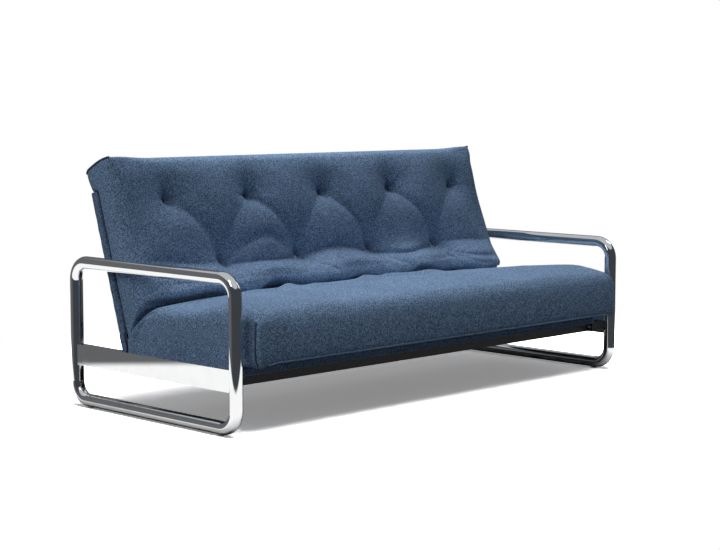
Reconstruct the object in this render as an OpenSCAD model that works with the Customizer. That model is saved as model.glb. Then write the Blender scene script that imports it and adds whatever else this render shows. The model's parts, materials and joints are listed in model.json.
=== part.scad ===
// Futon sofa bed. Two closed chromed tube loops are the arms and the feet. A box rail
// across each loop and two cross rails between them carry a slatted seat deck, which
// slides forward, and a slatted back deck, which is hinged to it and folds down flat.
// Ratchet hinges at both ends of the fold hold the back at each of their notches.
// Front is -Y and up is +Z. The origin is on the floor, under the middle.

/* [Mattress] */
// Length of the mattress, from arm to arm
bed_w = 2000; // [1600:10:2200]
// Thickness of the seat half at its front edge
seat_thick = 181; // [120:1:220]
// How far the seat half is crowned above its edges
seat_crown = 30; // [0:1:50]
// How far the seat half reaches past its deck
seat_overhang = 101; // [60:1:120]
// Thickness of the back half at the fold
back_thick_low = 150; // [110:1:180]
// Thickness of the back half at its top
back_thick_high = 122; // [90:1:150]
// How far the back half reaches past its deck
back_overhang = 98; // [60:1:120]
// How far the back half is crowned
back_crown = 25; // [0:1:30]
// How far the back half droops behind the top of its deck
back_droop = 34; // [0:1:50]
// Bulge of the end faces of the mattress
end_bulge = 10; // [0:1:20]
// Angle between the seat deck and the crease of the mattress
crease_angle = 61; // [50:0.5:70]

/* [Decks] */
// Depth of the seat deck
seat_deck_d = 630; // [560:5:760]
// Height of the back deck
back_deck_d = 615; // [560:5:740]
// Rounding of a deck's long edges
deck_round = 14; // [10:1:16]
// Rounding of a deck's ends
end_round = 8; // [4:1:9]
// Rounding of a deck's corners in plan
deck_corner = 25; // [16:1:60]
// Thickness of the cover fabric and its padding
cover_wall = 2.5; // [2:0.1:3]
// Padding between the tubes and the cover
cover_fit = 2; // [1:0.5:4]
// Width of the hem under the cover
hem_w = 44; // [40:1:80]
// Width and height of the deck's steel tubes
tube_w = 25; // [20:1:25]
// Wall of the steel tubes
tube_wall = 1.5; // [1:0.1:3]
// Width of the tubes that cross a deck
bar_w = 20; // [15:1:25]

/* [Slats] */
// Slats in each deck
slat_count = 12; // [12]
// Width of a slat
slat_w = 68; // [50:1:76]
// Thickness of a slat
slat_t = 8; // [6:0.5:9]
// Rise of a slat between its holders
slat_rise = 2.5; // [0:0.5:2.5]
// Depth of a slat holder
holder_d = 22; // [16:1:30]

/* [Fold] */
// Angle of the back deck above the seat deck's plane, as a sofa
back_angle = 72.5; // [60:0.5:75]
// Forward travel of the seat
slide = 200; // [120:5:210]
// Clearance between the two decks at the fold
fold_clear = 1.2; // [1:0.1:4]

/* [Arm loops] */
// Outer diameter of the arm tube
arm_tube_d = 48; // [38:1:54]
// Wall of the arm tube
arm_wall = 2; // [1.5:0.5:3]
// How much further apart the legs of a loop are than the seat deck is deep
arm_reach = 280; // [240:5:340]
// Distance between the bars of a loop, centre to centre
arm_h = 517; // [480:1:640]
// Bend radius of a loop, to the tube's centre
arm_bend = 68; // [55:1:90]
// Gap between the mattress and a loop
arm_clear = 26; // [20:1:40]
// Thickness of a floor glide under the tube
glide_t = 4; // [2:1:10]
// Diameter of a floor glide
glide_d = 24; // [16:1:40]

/* [Rails] */
// Height of a side rail
rail_h = 78; // [70:1:90]
// Thickness of a side rail
rail_t = 30; // [25:1:34]
// Wall of the side and cross rails
rail_wall = 2; // [1.5:0.5:3]
// Height of a side rail's lower face above the floor
rail_z = 157.5; // [120:0.5:200]
// Height of a cross rail
cross_h = 40; // [30:1:45]
// Thickness of a cross rail
cross_t = 30; // [25:1:40]
// Distance of the front cross rail behind the seat deck's front edge
front_rail_in = 74; // [60:1:120]
// Distance of the rear cross rail behind the hinge axis
rear_rail_in = 117; // [80:1:160]
// Clearance between the cross rails and the decks
deck_lift = 1.5; // [1:0.5:3]

/* [Hinges] */
// Room for the hinge plates at each end of a deck
hinge_bay = 15; // [14:0.5:20]
// Thickness of a hinge plate
plate_t = 5; // [4:0.5:5]
// Radius of the ratchet disc
disc_r = 24; // [22:0.5:26]
// Depth of the ratchet's notches
notch_h = 3.5; // [2.5:0.5:4]
// Steps of the ratchet from sofa to bed
notch_steps = 6; // [4:1:6]
// Radius of the hinge pin
pin_r = 7; // [6:0.5:8]
// Radial clearance of the pin in the back's plate
pin_fit = 0.05; // [0.02:0.01:0.1]
// Distance from the hinge axis to the pawl's rivet
pawl_r = 42; // [40:0.5:44]
// Angle of the pawl's rivet above the back's plate
pawl_at = 12; // [10:1:13]
// Angle that a pawl lifts to leave its notch
pawl_lift = 7.5; // [7:0.5:9]

/* [Hidden] */
$fn = 64;
eps = 0.01;
gap = 0.3;          // between soft parts and their neighbours
plate_gap = 0.5;    // between the two plates of a hinge
pawl_gap = 0.3;     // between a pawl and the cover behind it
seam = 0.15;        // round a welded or riveted joint

LEFT = -1;
RIGHT = 1;

// Sizes that follow from others
deck_t = tube_w + 2 * (cover_wall + cover_fit);
arm_d = seat_deck_d + arm_reach;
half_fold = (180 - back_angle) / 2;
// Distance from the hinge axis to the end of each deck
fold_gap = -deck_round
    + (deck_round + fold_clear + (deck_t / 2 - deck_round) * cos(half_fold)) / sin(half_fold);
// Heights
arm_low_z = glide_t + arm_tube_d / 2;
cross_top = rail_z + cross_h;
deck_z = cross_top + deck_lift + deck_t / 2;
// Places across
arm_x = bed_w / 2 + arm_clear + arm_tube_d / 2;
rail_in = arm_x - rail_t / 2;
frame_x = bed_w / 2 - hinge_bay;
slat_pitch = 2 * frame_x / (slat_count + 0.54);
bar_x = 4 * slat_pitch;
back_plate_x = frame_x + plate_t + plate_gap;
// Places along the depth. The hinge follows from the front edge of the deck, which
// stands a little behind the front of the loops.
deck_setback = 65;
seat_front_y = -(arm_d / 2 + arm_tube_d / 2) + deck_setback;
hinge_y = seat_front_y + seat_deck_d + fold_gap;
front_rail_y = seat_front_y + front_rail_in;
rear_rail_y = hinge_y + rear_rail_in;
front_y = seat_front_y - seat_overhang;
rear_y = max(arm_d / 2 + arm_tube_d / 2,
             hinge_y + (fold_gap + back_deck_d + back_overhang) * cos(back_angle));
plan_shift = -(front_y + rear_y) / 2;
// Deck sections, measured along a deck from the hinge axis and across it
cover_r = deck_round - cover_wall;
tube_inset = deck_round - sqrt(pow(cover_r, 2) - pow(cover_r - cover_fit, 2)) + gap;
rail_1 = fold_gap + tube_inset;
holder_wall = 2;
slat_low = deck_t / 2 - cover_wall - 1 - max(slat_rise, holder_wall + gap) - slat_t;
// Hinge plates
arm_l = 160;
arm_half = 12;
shoulder_l = 48;
hinge_notch = 70;
boss_at = [90, 140];
boss_r = 8;
rivet_r = 4;
eye_half = deck_t / 2 - 0.5;
collar_r = 10;
flank = -30;        // the pawl's flank, from the back plate's centre line
flank_lean = 2.7;   // how far a flank leans, to follow the pawl's swing
notch_step = back_angle / notch_steps;
// Runner in its track
runner_l = 32;
runner_h = 24;
runner_t = 15;
track_wall = 2.5;
track_t = rail_in - (frame_x + hinge_bay) - 16;
// Bolts
bolt_r = 4;
bolt_hole_r = 4.3;
bolt_head_r = 7;
bolt_head_h = 4.5;
flange_t = 4;
flange_reach = 22;

// ---- helpers ----

// Every node is drawn through this, so the model is centred over the origin
module placed() translate([0, plan_shift, 0]) children();

// The +X side as modelled, or its mirror image
module on_side(side) mirror([side < 0 ? 1 : 0, 0, 0]) children();

module both_sides() {
    on_side(RIGHT) children();
    on_side(LEFT) children();
}

// A profile in the Y-Z plane, extruded along X from x
module along_x(x, length) translate([x, 0, 0]) rotate([90, 0, 90]) linear_extrude(length) children();

// A profile in the Y-Z plane, extruded along X about the middle
module across(width) along_x(-width / 2, width) children();

// A deck lies along +Y from the hinge axis. The seat's is turned to the front.
module on_seat() translate([0, hinge_y, deck_z]) mirror([0, 1, 0]) children();

module on_back() translate([0, hinge_y, deck_z]) rotate([back_angle, 0, 0]) children();

module round_rect(low, high, r) {
    square_x = [high[0] - low[0], high[1] - low[1] - 2 * r];
    square_y = [high[0] - low[0] - 2 * r, high[1] - low[1]];
    translate([low[0], low[1] + r]) square(square_x);
    translate([low[0] + r, low[1]]) square(square_y);
    for (x = [low[0] + r, high[0] - r], y = [low[1] + r, high[1] - r])
        translate([x, y]) circle(r);
}

module box_tube(size, wall) {
    difference() {
        cube(size, center = true);
        cube([for (i = [0:2]) size[i] - (i == wall[1] ? -1 : 2 * wall[0])], center = true);
    }
}

function polar(r, a) = [r * cos(a), r * sin(a)];

// ---- arm loops and rails ----

module loop_body(r) {
    straight_y = arm_d - 2 * arm_bend;
    straight_z = arm_h - 2 * arm_bend;
    for (s = [-1, 1]) {
        translate([0, s * arm_d / 2, -straight_z / 2]) cylinder(h = straight_z, r = r);
        translate([0, -straight_y / 2, s * arm_h / 2]) rotate([-90, 0, 0])
            cylinder(h = straight_y, r = r);
    }
    for (turn = [0:3]) {
        y = (turn == 0 || turn == 3 ? 1 : -1) * straight_y / 2;
        z = (turn < 2 ? 1 : -1) * straight_z / 2;
        translate([0, y, z]) rotate([turn * 90, 0, 0]) rotate([90, 0, 90])
            rotate_extrude(angle = 90) translate([arm_bend, 0]) circle(r);
    }
}

module arm_loop(side) {
    color("silver") placed() translate([side * arm_x, 0, arm_low_z + arm_h / 2]) difference() {
        loop_body(arm_tube_d / 2);
        loop_body(arm_tube_d / 2 - arm_wall);
    }
}

module side_rail(side) {
    color("silver") placed() on_side(side) difference() {
        translate([arm_x, 0, rail_z + rail_h / 2])
            box_tube([rail_t, arm_d, rail_h], [rail_wall, 1]);
        for (s = [-1, 1]) translate([arm_x, s * arm_d / 2, 0])
            cylinder(h = rail_z + rail_h + 1, r = arm_tube_d / 2 + seam);
        for (y = bolt_ys()) translate([rail_in - 1, y, cross_mid()]) rotate([0, 90, 0])
            cylinder(h = rail_wall + 2, r = bolt_hole_r);
    }
}

function cross_mid() = rail_z + cross_h / 2;

function bolt_ys() = [for (y = [front_rail_y, rear_rail_y], e = [-1, 1])
    y + e * (cross_t / 2 + flange_reach / 2)];

module cross_rail(y) {
    length = 2 * (rail_in - flange_t);
    color("dimgray") placed() translate([0, y, cross_mid()]) {
        box_tube([length, cross_t, cross_h], [rail_wall, 0]);
        both_sides() difference() {
            translate([length / 2, -cross_t / 2 - flange_reach, -cross_h / 2])
                cube([flange_t, cross_t + 2 * flange_reach, cross_h]);
            for (e = [-1, 1]) translate([length / 2 - 1, e * (cross_t / 2 + flange_reach / 2), 0])
                rotate([0, 90, 0]) cylinder(h = flange_t + 2, r = bolt_hole_r);
        }
    }
}

module centre_beam() {
    length = rear_rail_y - front_rail_y - cross_t - 2 * eps;
    color("dimgray") placed() translate([0, (rear_rail_y + front_rail_y) / 2, cross_top - cross_t / 2])
        box_tube([cross_t, length, cross_t], [rail_wall, 1]);
}

module frame_bolts() {
    color("gray") placed() both_sides() for (y = bolt_ys())
        translate([rail_in - flange_t, y, cross_mid()]) rotate([0, 90, 0]) {
            cylinder(h = 18, r = bolt_r);
            translate([0, 0, -bolt_head_h]) difference() {
                cylinder(h = bolt_head_h, r = bolt_head_r);
                translate([0, 0, -eps]) cylinder(h = 2.5, r = 2.9, $fn = 6);
            }
        }
}

// A C channel, open to the inside, that a hinge runner slides in
module runner_track(side) {
    inner_h = runner_h + 2 * gap;
    inner_y = [hinge_y - slide - runner_l / 2 - 1, hinge_y + runner_l / 2 + 1];
    outer = [track_t, inner_y[1] - inner_y[0] + 2 * track_wall, inner_h + 2 * track_wall];
    color("dimgray") placed() on_side(side)
        translate([rail_in - track_t, inner_y[0] - track_wall, deck_z - outer[2] / 2]) difference() {
            cube(outer);
            translate([-1, track_wall, track_wall])
                cube([track_t + 1 - track_wall, inner_y[1] - inner_y[0], inner_h]);
        }
}

pad_h = deck_z - tube_w / 2 - cross_top - gap;
pad_crown_r = 60;

module pad(size_x, size_y) {
    intersection() {
        translate([0, 0, pad_h / 2]) cube([size_x, size_y, pad_h], center = true);
        rotate([90, 0, 0]) translate([0, pad_h - pad_crown_r, -size_y])
            cylinder(h = 2 * size_y, r = pad_crown_r, $fn = 180);
    }
}

// Nylon pads that the seat's cross bars slide on
module slide_pads() {
    color("white") placed() {
        for (x = [-bar_x, 0, bar_x]) translate([x, front_rail_y, cross_top]) pad(30, cross_t - 4);
        translate([0, front_rail_y + 140, cross_top]) pad(26, 90);
    }
}

// Rubber pads that the back's cross bars come down on
module rest_pads() {
    color("black") placed() for (x = [-bar_x, 0, bar_x])
        translate([x, rear_rail_y, cross_top]) pad(30, cross_t - 4);
}

// Round pads whose tops are cupped to the tube
module floor_glides() {
    saddle_h = 2;
    reach = arm_d / 2 - arm_bend - glide_d / 2;
    color("wheat") placed() both_sides() for (s = [-1, 1])
        translate([arm_x, s * reach, 0]) difference() {
            cylinder(h = glide_t + saddle_h, r = glide_d / 2);
            translate([0, -glide_d, arm_low_z]) rotate([-90, 0, 0])
                cylinder(h = 2 * glide_d, r = arm_tube_d / 2 + seam);
        }
}

// ---- decks ----

module long_tube(s) {
    translate([0, s + tube_w / 2, 0]) box_tube([2 * frame_x, tube_w, tube_w], [tube_wall, 0]);
}

function far_tube(depth) = fold_gap + depth - tube_inset - tube_w;

module cross_tube(x, width, depth) {
    length = far_tube(depth) - rail_1 - tube_w;
    translate([x, rail_1 + tube_w + length / 2, 0]) box_tube([width, length, tube_w], [tube_wall, 1]);
}

module end_tubes(depth) {
    for (side = [-1, 1]) cross_tube(side * (frame_x - tube_w / 2), tube_w, depth);
}

module cross_bars(depth) {
    for (x = [-bar_x, 0, bar_x]) cross_tube(x, bar_w, depth);
}

function slat_x(i) = (i - (slat_count + 1) / 2) * slat_pitch;

// A sprung slat: straight in its holders and gently arched between them
module slat(i, depth) {
    ends = [rail_1 + tube_w + holder_wall + gap, far_tube(depth) - holder_wall - gap];
    bow = [ends[0] + holder_d, ends[1] - holder_d];
    steps = 10;
    line = [for (k = [0:steps]) let (f = k / steps)
        [bow[0] + f * (bow[1] - bow[0]), slat_low + slat_rise * 4 * f * (1 - f)]];
    low = concat([[ends[0], slat_low]], line, [[ends[1], slat_low]]);
    high = [for (k = [len(low) - 1:-1:0]) low[k] + [0, slat_t]];
    translate([slat_x(i), 0, 0]) across(slat_w) polygon(concat(low, high));
}

// A cap on the deck's tube that holds the end of one slat
module slat_holder() {
    size = [slat_w + 2 * holder_wall + 2 * gap, holder_d, slat_t + 2 * holder_wall + 2 * gap];
    pocket = [slat_w + 2 * gap, holder_d, slat_t + 2 * gap];
    translate([0, 0, slat_low - gap - holder_wall]) difference() {
        translate([-size[0] / 2, 0, 0]) cube(size);
        translate([-pocket[0] / 2, holder_wall, holder_wall]) cube(pocket);
    }
}

module slat_holders(depth) {
    for (i = [1:slat_count]) {
        translate([slat_x(i), rail_1 + tube_w + eps, 0]) slat_holder();
        translate([slat_x(i), far_tube(depth) - eps, 0]) mirror([0, 1, 0]) slat_holder();
    }
}

// The outside of a covered deck, taken in on all sides by inset
module deck_form(depth, inset) {
    half = [bed_w / 2 - inset, 0, deck_t / 2 - inset];
    s = [fold_gap + inset, fold_gap + depth - inset];
    corner = deck_corner - inset;
    intersection() {
        across(2 * half[0]) round_rect([s[0], -half[2]], [s[1], half[2]], deck_round - inset);
        translate([0, 0, -half[2]]) linear_extrude(2 * half[2])
            round_rect([-half[0], s[0]], [half[0], s[1]], corner);
        translate([0, s[1], 0]) rotate([90, 0, 0]) linear_extrude(s[1] - s[0])
            round_rect([-half[0], -half[2]], [half[0], half[2]], end_round - inset);
    }
}

// A fitted cover: a sheet over the deck, its sides and a hem turned underneath
module deck_cover(depth) {
    difference() {
        deck_form(depth, 0);
        deck_form(depth, cover_wall);
        translate([-bed_w / 2 + hem_w, fold_gap + hem_w, -deck_t])
            cube([bed_w - 2 * hem_w, depth - 2 * hem_w, deck_t]);
        both_sides() translate([frame_x - 1, 0, -deck_t]) cube([hinge_bay + 2, hinge_notch, 2 * deck_t]);
    }
}

// ---- mattress ----

// Outline of one half: the crease, the underside, the end face and the crowned top.
// The end face reaches last at its furthest. low and high are its corners, measured from each
// other along the deck, and above the deck cover.
function half_outline(crease, deck_end, last, low, high, thick, crown) =
    let (floor_t = deck_t / 2 + gap,
         first = (floor_t + thick - 14) / tan(crease) + 1,
         face = [for (f = [0.06:0.147:0.95]) low + f * (high - low) + [end_bulge * 4 * f * (1 - f), 0]],
         at = [last - max([for (p = face) p[0]]), floor_t],
         top = at + high,
         foot = at + low,
         start = [first + 26, floor_t + thick],
         edge = 12)
    concat(
        [[floor_t / tan(crease) + 1, floor_t], [deck_end - 6, floor_t], foot - [edge, 0]],
        [for (p = face) at + p],
        [for (k = [0:12]) let (f = k / 12, from = top - [edge, -edge / 4])
            from + f * (start - from) + [0, crown * 4 * f * (1 - f)]],
        [[first, floor_t + thick - 14]]);

module hinge_relief() {
    both_sides() {
        along_x(frame_x - 5, hinge_bay + 10) circle(disc_r + 3);
        translate([frame_x - 5, 0, 0]) cube([hinge_bay + 10, hinge_notch, disc_r + 1.5]);
    }
}

module seat_mattress() {
    deck_end = fold_gap + seat_deck_d;
    color("steelblue") placed() on_seat() difference() {
        across(bed_w) polygon(half_outline(crease_angle, deck_end, deck_end + seat_overhang,
                                           [-14, 14], [0, seat_thick], seat_thick, seat_crown));
        hinge_relief();
    }
}

module back_mattress() {
    crease = 180 - back_angle - crease_angle;
    deck_end = fold_gap + back_deck_d;
    color("steelblue") placed() on_back() difference() {
        across(bed_w) polygon(half_outline(crease, deck_end, deck_end + back_overhang,
                                           [-13, -back_droop], [0, back_thick_high - back_droop / 2],
                                           back_thick_low, back_crown));
        both_sides() along_x(frame_x - 5, hinge_bay + 10) circle(disc_r + 3);
    }
}

// ---- ratchet hinges ----

// A plate in the plane of the hinge, with the hinge axis at the origin
module hinge_plate(x, side) on_side(side) along_x(x, plate_t) children();

// One step of the ratchet: a steep flank at angle a, and a ramp that lifts the pawl
module ratchet_notch(a) {
    root = disc_r - notch_h;
    polygon([polar(root, a), polar(disc_r + 1, a - flank_lean),
             polar(disc_r + 1, a + notch_step - flank_lean - 1), polar(root, a + 2)]);
}

// The seat's plate: a shouldered arm that ends in the ratchet disc
module seat_hinge(side) {
    color("silver") placed() translate([0, hinge_y, deck_z]) hinge_plate(frame_x, side) difference() {
        union() {
            circle(disc_r);
            translate([-arm_l + arm_half, 0]) circle(arm_half);
            polygon([[0, disc_r - 0.5], [-shoulder_l, disc_r - 0.5], [4 - hinge_notch, arm_half],
                     [arm_half - arm_l, arm_half], [arm_half - arm_l, -arm_half], [0, -arm_half]]);
        }
        circle(pin_r + 0.02);
        for (k = [0:notch_steps]) ratchet_notch(back_angle + flank - k * notch_step);
    }
}

// The back's plate: a hub on the pin and an arm that stands off the frame on bosses
module back_hinge(side) {
    color("silver") placed() on_back() {
        hinge_plate(back_plate_x, side) difference() {
            union() {
                circle(disc_r - 4);
                translate([arm_l - arm_half, 0]) circle(arm_half);
                polygon([[0, -arm_half], [arm_l - arm_half, -arm_half], [arm_l - arm_half, arm_half],
                         [64, arm_half], [54, eye_half], [20, eye_half], [0, disc_r - 4]]);
            }
            circle(pin_r + pin_fit);
        }
        on_side(side) for (s = boss_at) along_x(frame_x, plate_t + plate_gap + eps)
            translate([s, 0]) circle(boss_r);
        on_side(side) along_x(frame_x + pawl_gap, plate_t + plate_gap - pawl_gap + eps)
            translate(polar(pawl_r, pawl_at)) circle(rivet_r);
    }
}

// The pawl, lifted clear of the ratchet as it is while the back moves
module pawl(side) {
    pivot = polar(pawl_r, pawl_at);
    root = disc_r - notch_h + 0.4;
    nose = polar(disc_r + 5, flank + 5);
    along = (pivot - nose) / norm(pivot - nose);
    out = [along[1], -along[0]];
    eye_r = 7.5;
    color("dimgray") placed() on_back() on_side(side) along_x(frame_x + pawl_gap, plate_t - 0.1)
        translate(pivot) rotate(pawl_lift) translate(-pivot) difference() {
            union() {
                translate(pivot) circle(eye_r);
                polygon([polar(root, flank + 0.8), polar(disc_r + 1, flank + 0.8 - flank_lean),
                         polar(disc_r + 9.5, flank + 4), pivot + out * (eye_r - 1),
                         pivot - out * (eye_r - 1), polar(disc_r + 3.5, flank + 20),
                         polar(disc_r + 0.9, flank + 7)]);
            }
            translate(pivot) circle(rivet_r + pin_fit);
        }
}

// Shouldered pins: welded in the seat's plate, with the back's hub turning on them
module hinge_pins() {
    collar_x = back_plate_x + plate_t + 0.7;
    runner_x = rail_in - track_wall - 2 - runner_t;
    color("gray") placed() translate([0, hinge_y, deck_z]) both_sides() {
        along_x(frame_x, runner_x + runner_t + 0.5 - frame_x) circle(pin_r);
        along_x(collar_x, runner_x - 0.3 - collar_x) circle(collar_r);
    }
}

// Nylon blocks on the pins, which slide in the tracks
module track_runners() {
    runner_x = rail_in - track_wall - 2 - runner_t;
    color("white") placed() translate([0, hinge_y, deck_z]) both_sides()
        along_x(runner_x, runner_t) difference() {
            round_rect([-runner_l / 2, -runner_h / 2], [runner_l / 2, runner_h / 2], 4);
            circle(pin_r + 0.1);
        }
}

// ---- nodes ----

arm_loop(LEFT);  // left_arm_loop
arm_loop(RIGHT);  // right_arm_loop
side_rail(LEFT);  // left_side_rail
side_rail(RIGHT);  // right_side_rail
cross_rail(front_rail_y);  // front_cross_rail
cross_rail(rear_rail_y);  // rear_cross_rail
centre_beam();
runner_track(LEFT);  // left_runner_track
runner_track(RIGHT);  // right_runner_track
frame_bolts();
slide_pads();
rest_pads();
floor_glides();

color("dimgray") placed() on_seat() long_tube(far_tube(seat_deck_d));  // seat_front_tube
color("dimgray") placed() on_seat() long_tube(rail_1);  // seat_rear_tube
color("dimgray") placed() on_seat() end_tubes(seat_deck_d);  // seat_end_tubes
color("dimgray") placed() on_seat() cross_bars(seat_deck_d);  // seat_cross_bars
color("black") placed() on_seat() slat_holders(seat_deck_d);  // seat_slat_holders
color("slategray") placed() on_seat() deck_cover(seat_deck_d);  // seat_deck_cover
seat_mattress();
seat_hinge(LEFT);  // left_seat_hinge
seat_hinge(RIGHT);  // right_seat_hinge
hinge_pins();
track_runners();

color("dimgray") placed() on_back() long_tube(far_tube(back_deck_d));  // back_top_tube
color("dimgray") placed() on_back() long_tube(rail_1);  // back_bottom_tube
color("dimgray") placed() on_back() end_tubes(back_deck_d);  // back_end_tubes
color("dimgray") placed() on_back() cross_bars(back_deck_d);  // back_cross_bars
color("black") placed() on_back() slat_holders(back_deck_d);  // back_slat_holders
color("slategray") placed() on_back() deck_cover(back_deck_d);  // back_deck_cover
back_mattress();
back_hinge(LEFT);  // left_back_hinge
back_hinge(RIGHT);  // right_back_hinge
pawl(LEFT);  // left_pawl
pawl(RIGHT);  // right_pawl

for (i = [1:slat_count]) {
    color("burlywood") placed() on_seat() slat(i, seat_deck_d);
    color("burlywood") placed() on_back() slat(i, back_deck_d);
}
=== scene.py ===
"""Looks of a futon sofa bed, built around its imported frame.

Two chromed tube loops carry rails and a slatted seat and back. One tufted mattress lies over both decks and
folds at the hinge between them. Front is -Y, up is +Z, and everything is in metres.
"""

from __future__ import annotations

import json
import logging
import math
from dataclasses import dataclass
from enum import Enum
from typing import Any, Callable, Sequence

import bpy  # noqa: E402
import numpy as np  # noqa: E402
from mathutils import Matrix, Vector  # noqa: E402

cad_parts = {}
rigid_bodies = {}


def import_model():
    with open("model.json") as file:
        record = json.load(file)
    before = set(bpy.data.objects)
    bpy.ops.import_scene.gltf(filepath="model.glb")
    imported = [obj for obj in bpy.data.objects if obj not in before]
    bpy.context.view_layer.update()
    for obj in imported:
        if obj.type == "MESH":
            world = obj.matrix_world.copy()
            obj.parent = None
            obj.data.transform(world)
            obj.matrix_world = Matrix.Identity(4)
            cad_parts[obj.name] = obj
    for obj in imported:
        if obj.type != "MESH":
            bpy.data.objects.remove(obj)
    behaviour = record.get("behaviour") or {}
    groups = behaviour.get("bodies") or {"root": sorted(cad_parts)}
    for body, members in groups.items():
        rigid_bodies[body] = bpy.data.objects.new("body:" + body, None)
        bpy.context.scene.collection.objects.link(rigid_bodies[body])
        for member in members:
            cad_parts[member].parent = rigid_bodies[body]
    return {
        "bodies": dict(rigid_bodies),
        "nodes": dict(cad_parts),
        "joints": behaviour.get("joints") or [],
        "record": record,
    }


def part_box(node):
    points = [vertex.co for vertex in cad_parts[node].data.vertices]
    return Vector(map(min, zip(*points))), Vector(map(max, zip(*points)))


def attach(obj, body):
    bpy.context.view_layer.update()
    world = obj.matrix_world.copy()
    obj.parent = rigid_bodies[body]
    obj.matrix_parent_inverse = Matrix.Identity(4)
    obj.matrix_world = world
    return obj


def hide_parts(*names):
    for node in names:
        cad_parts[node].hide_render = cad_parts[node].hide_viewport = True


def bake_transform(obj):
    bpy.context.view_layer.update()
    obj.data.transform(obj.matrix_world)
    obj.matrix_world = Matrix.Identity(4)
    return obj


LOG = logging.getLogger("futon")
Colour = tuple[float, float, float]
Points = np.ndarray


# ---------------------------------------------------------------- shader maths


class Wire:
    """A shader socket that Python's arithmetic works on, one Math node for each operator."""

    def __init__(self, graph: "Graph", socket: bpy.types.NodeSocket) -> None:
        """Keep the socket and the graph that new nodes go into.

        Args:
            graph: The node graph.
            socket: An output socket.
        """
        self.graph = graph
        self.socket = socket

    def maths(self, operation: str, other: "Wire | float") -> "Wire":
        """Feed this socket and another value to one Math node.

        Args:
            operation: The Math node's operation.
            other: Its second input.

        Returns:
            The node's result.
        """
        return self.graph.node("ShaderNodeMath", {"operation": operation}, {0: self, 1: other})

    def __add__(self, other: "Wire | float") -> "Wire":
        """Add."""
        return self.maths("ADD", other)

    def __radd__(self, other: float) -> "Wire":
        """Add, from the right."""
        return self.maths("ADD", other)

    def __sub__(self, other: "Wire | float") -> "Wire":
        """Subtract."""
        return self.maths("SUBTRACT", other)

    def __rsub__(self, other: float) -> "Wire":
        """Subtract this from a number."""
        return self * -1.0 + other

    def __mul__(self, other: "Wire | float") -> "Wire":
        """Multiply."""
        return self.maths("MULTIPLY", other)

    def __rmul__(self, other: float) -> "Wire":
        """Multiply, from the right."""
        return self.maths("MULTIPLY", other)

    def ramp(self, low: float, high: float) -> "Wire":
        """Stretch the values from low to high over 0 to 1, smoothly.

        Args:
            low: The value that becomes 0.
            high: The value that becomes 1.

        Returns:
            The stretched value.
        """
        settings = {"interpolation_type": "SMOOTHSTEP"}
        inputs = {"Value": self, "From Min": low, "From Max": high}
        return self.graph.node("ShaderNodeMapRange", settings, inputs)


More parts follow.
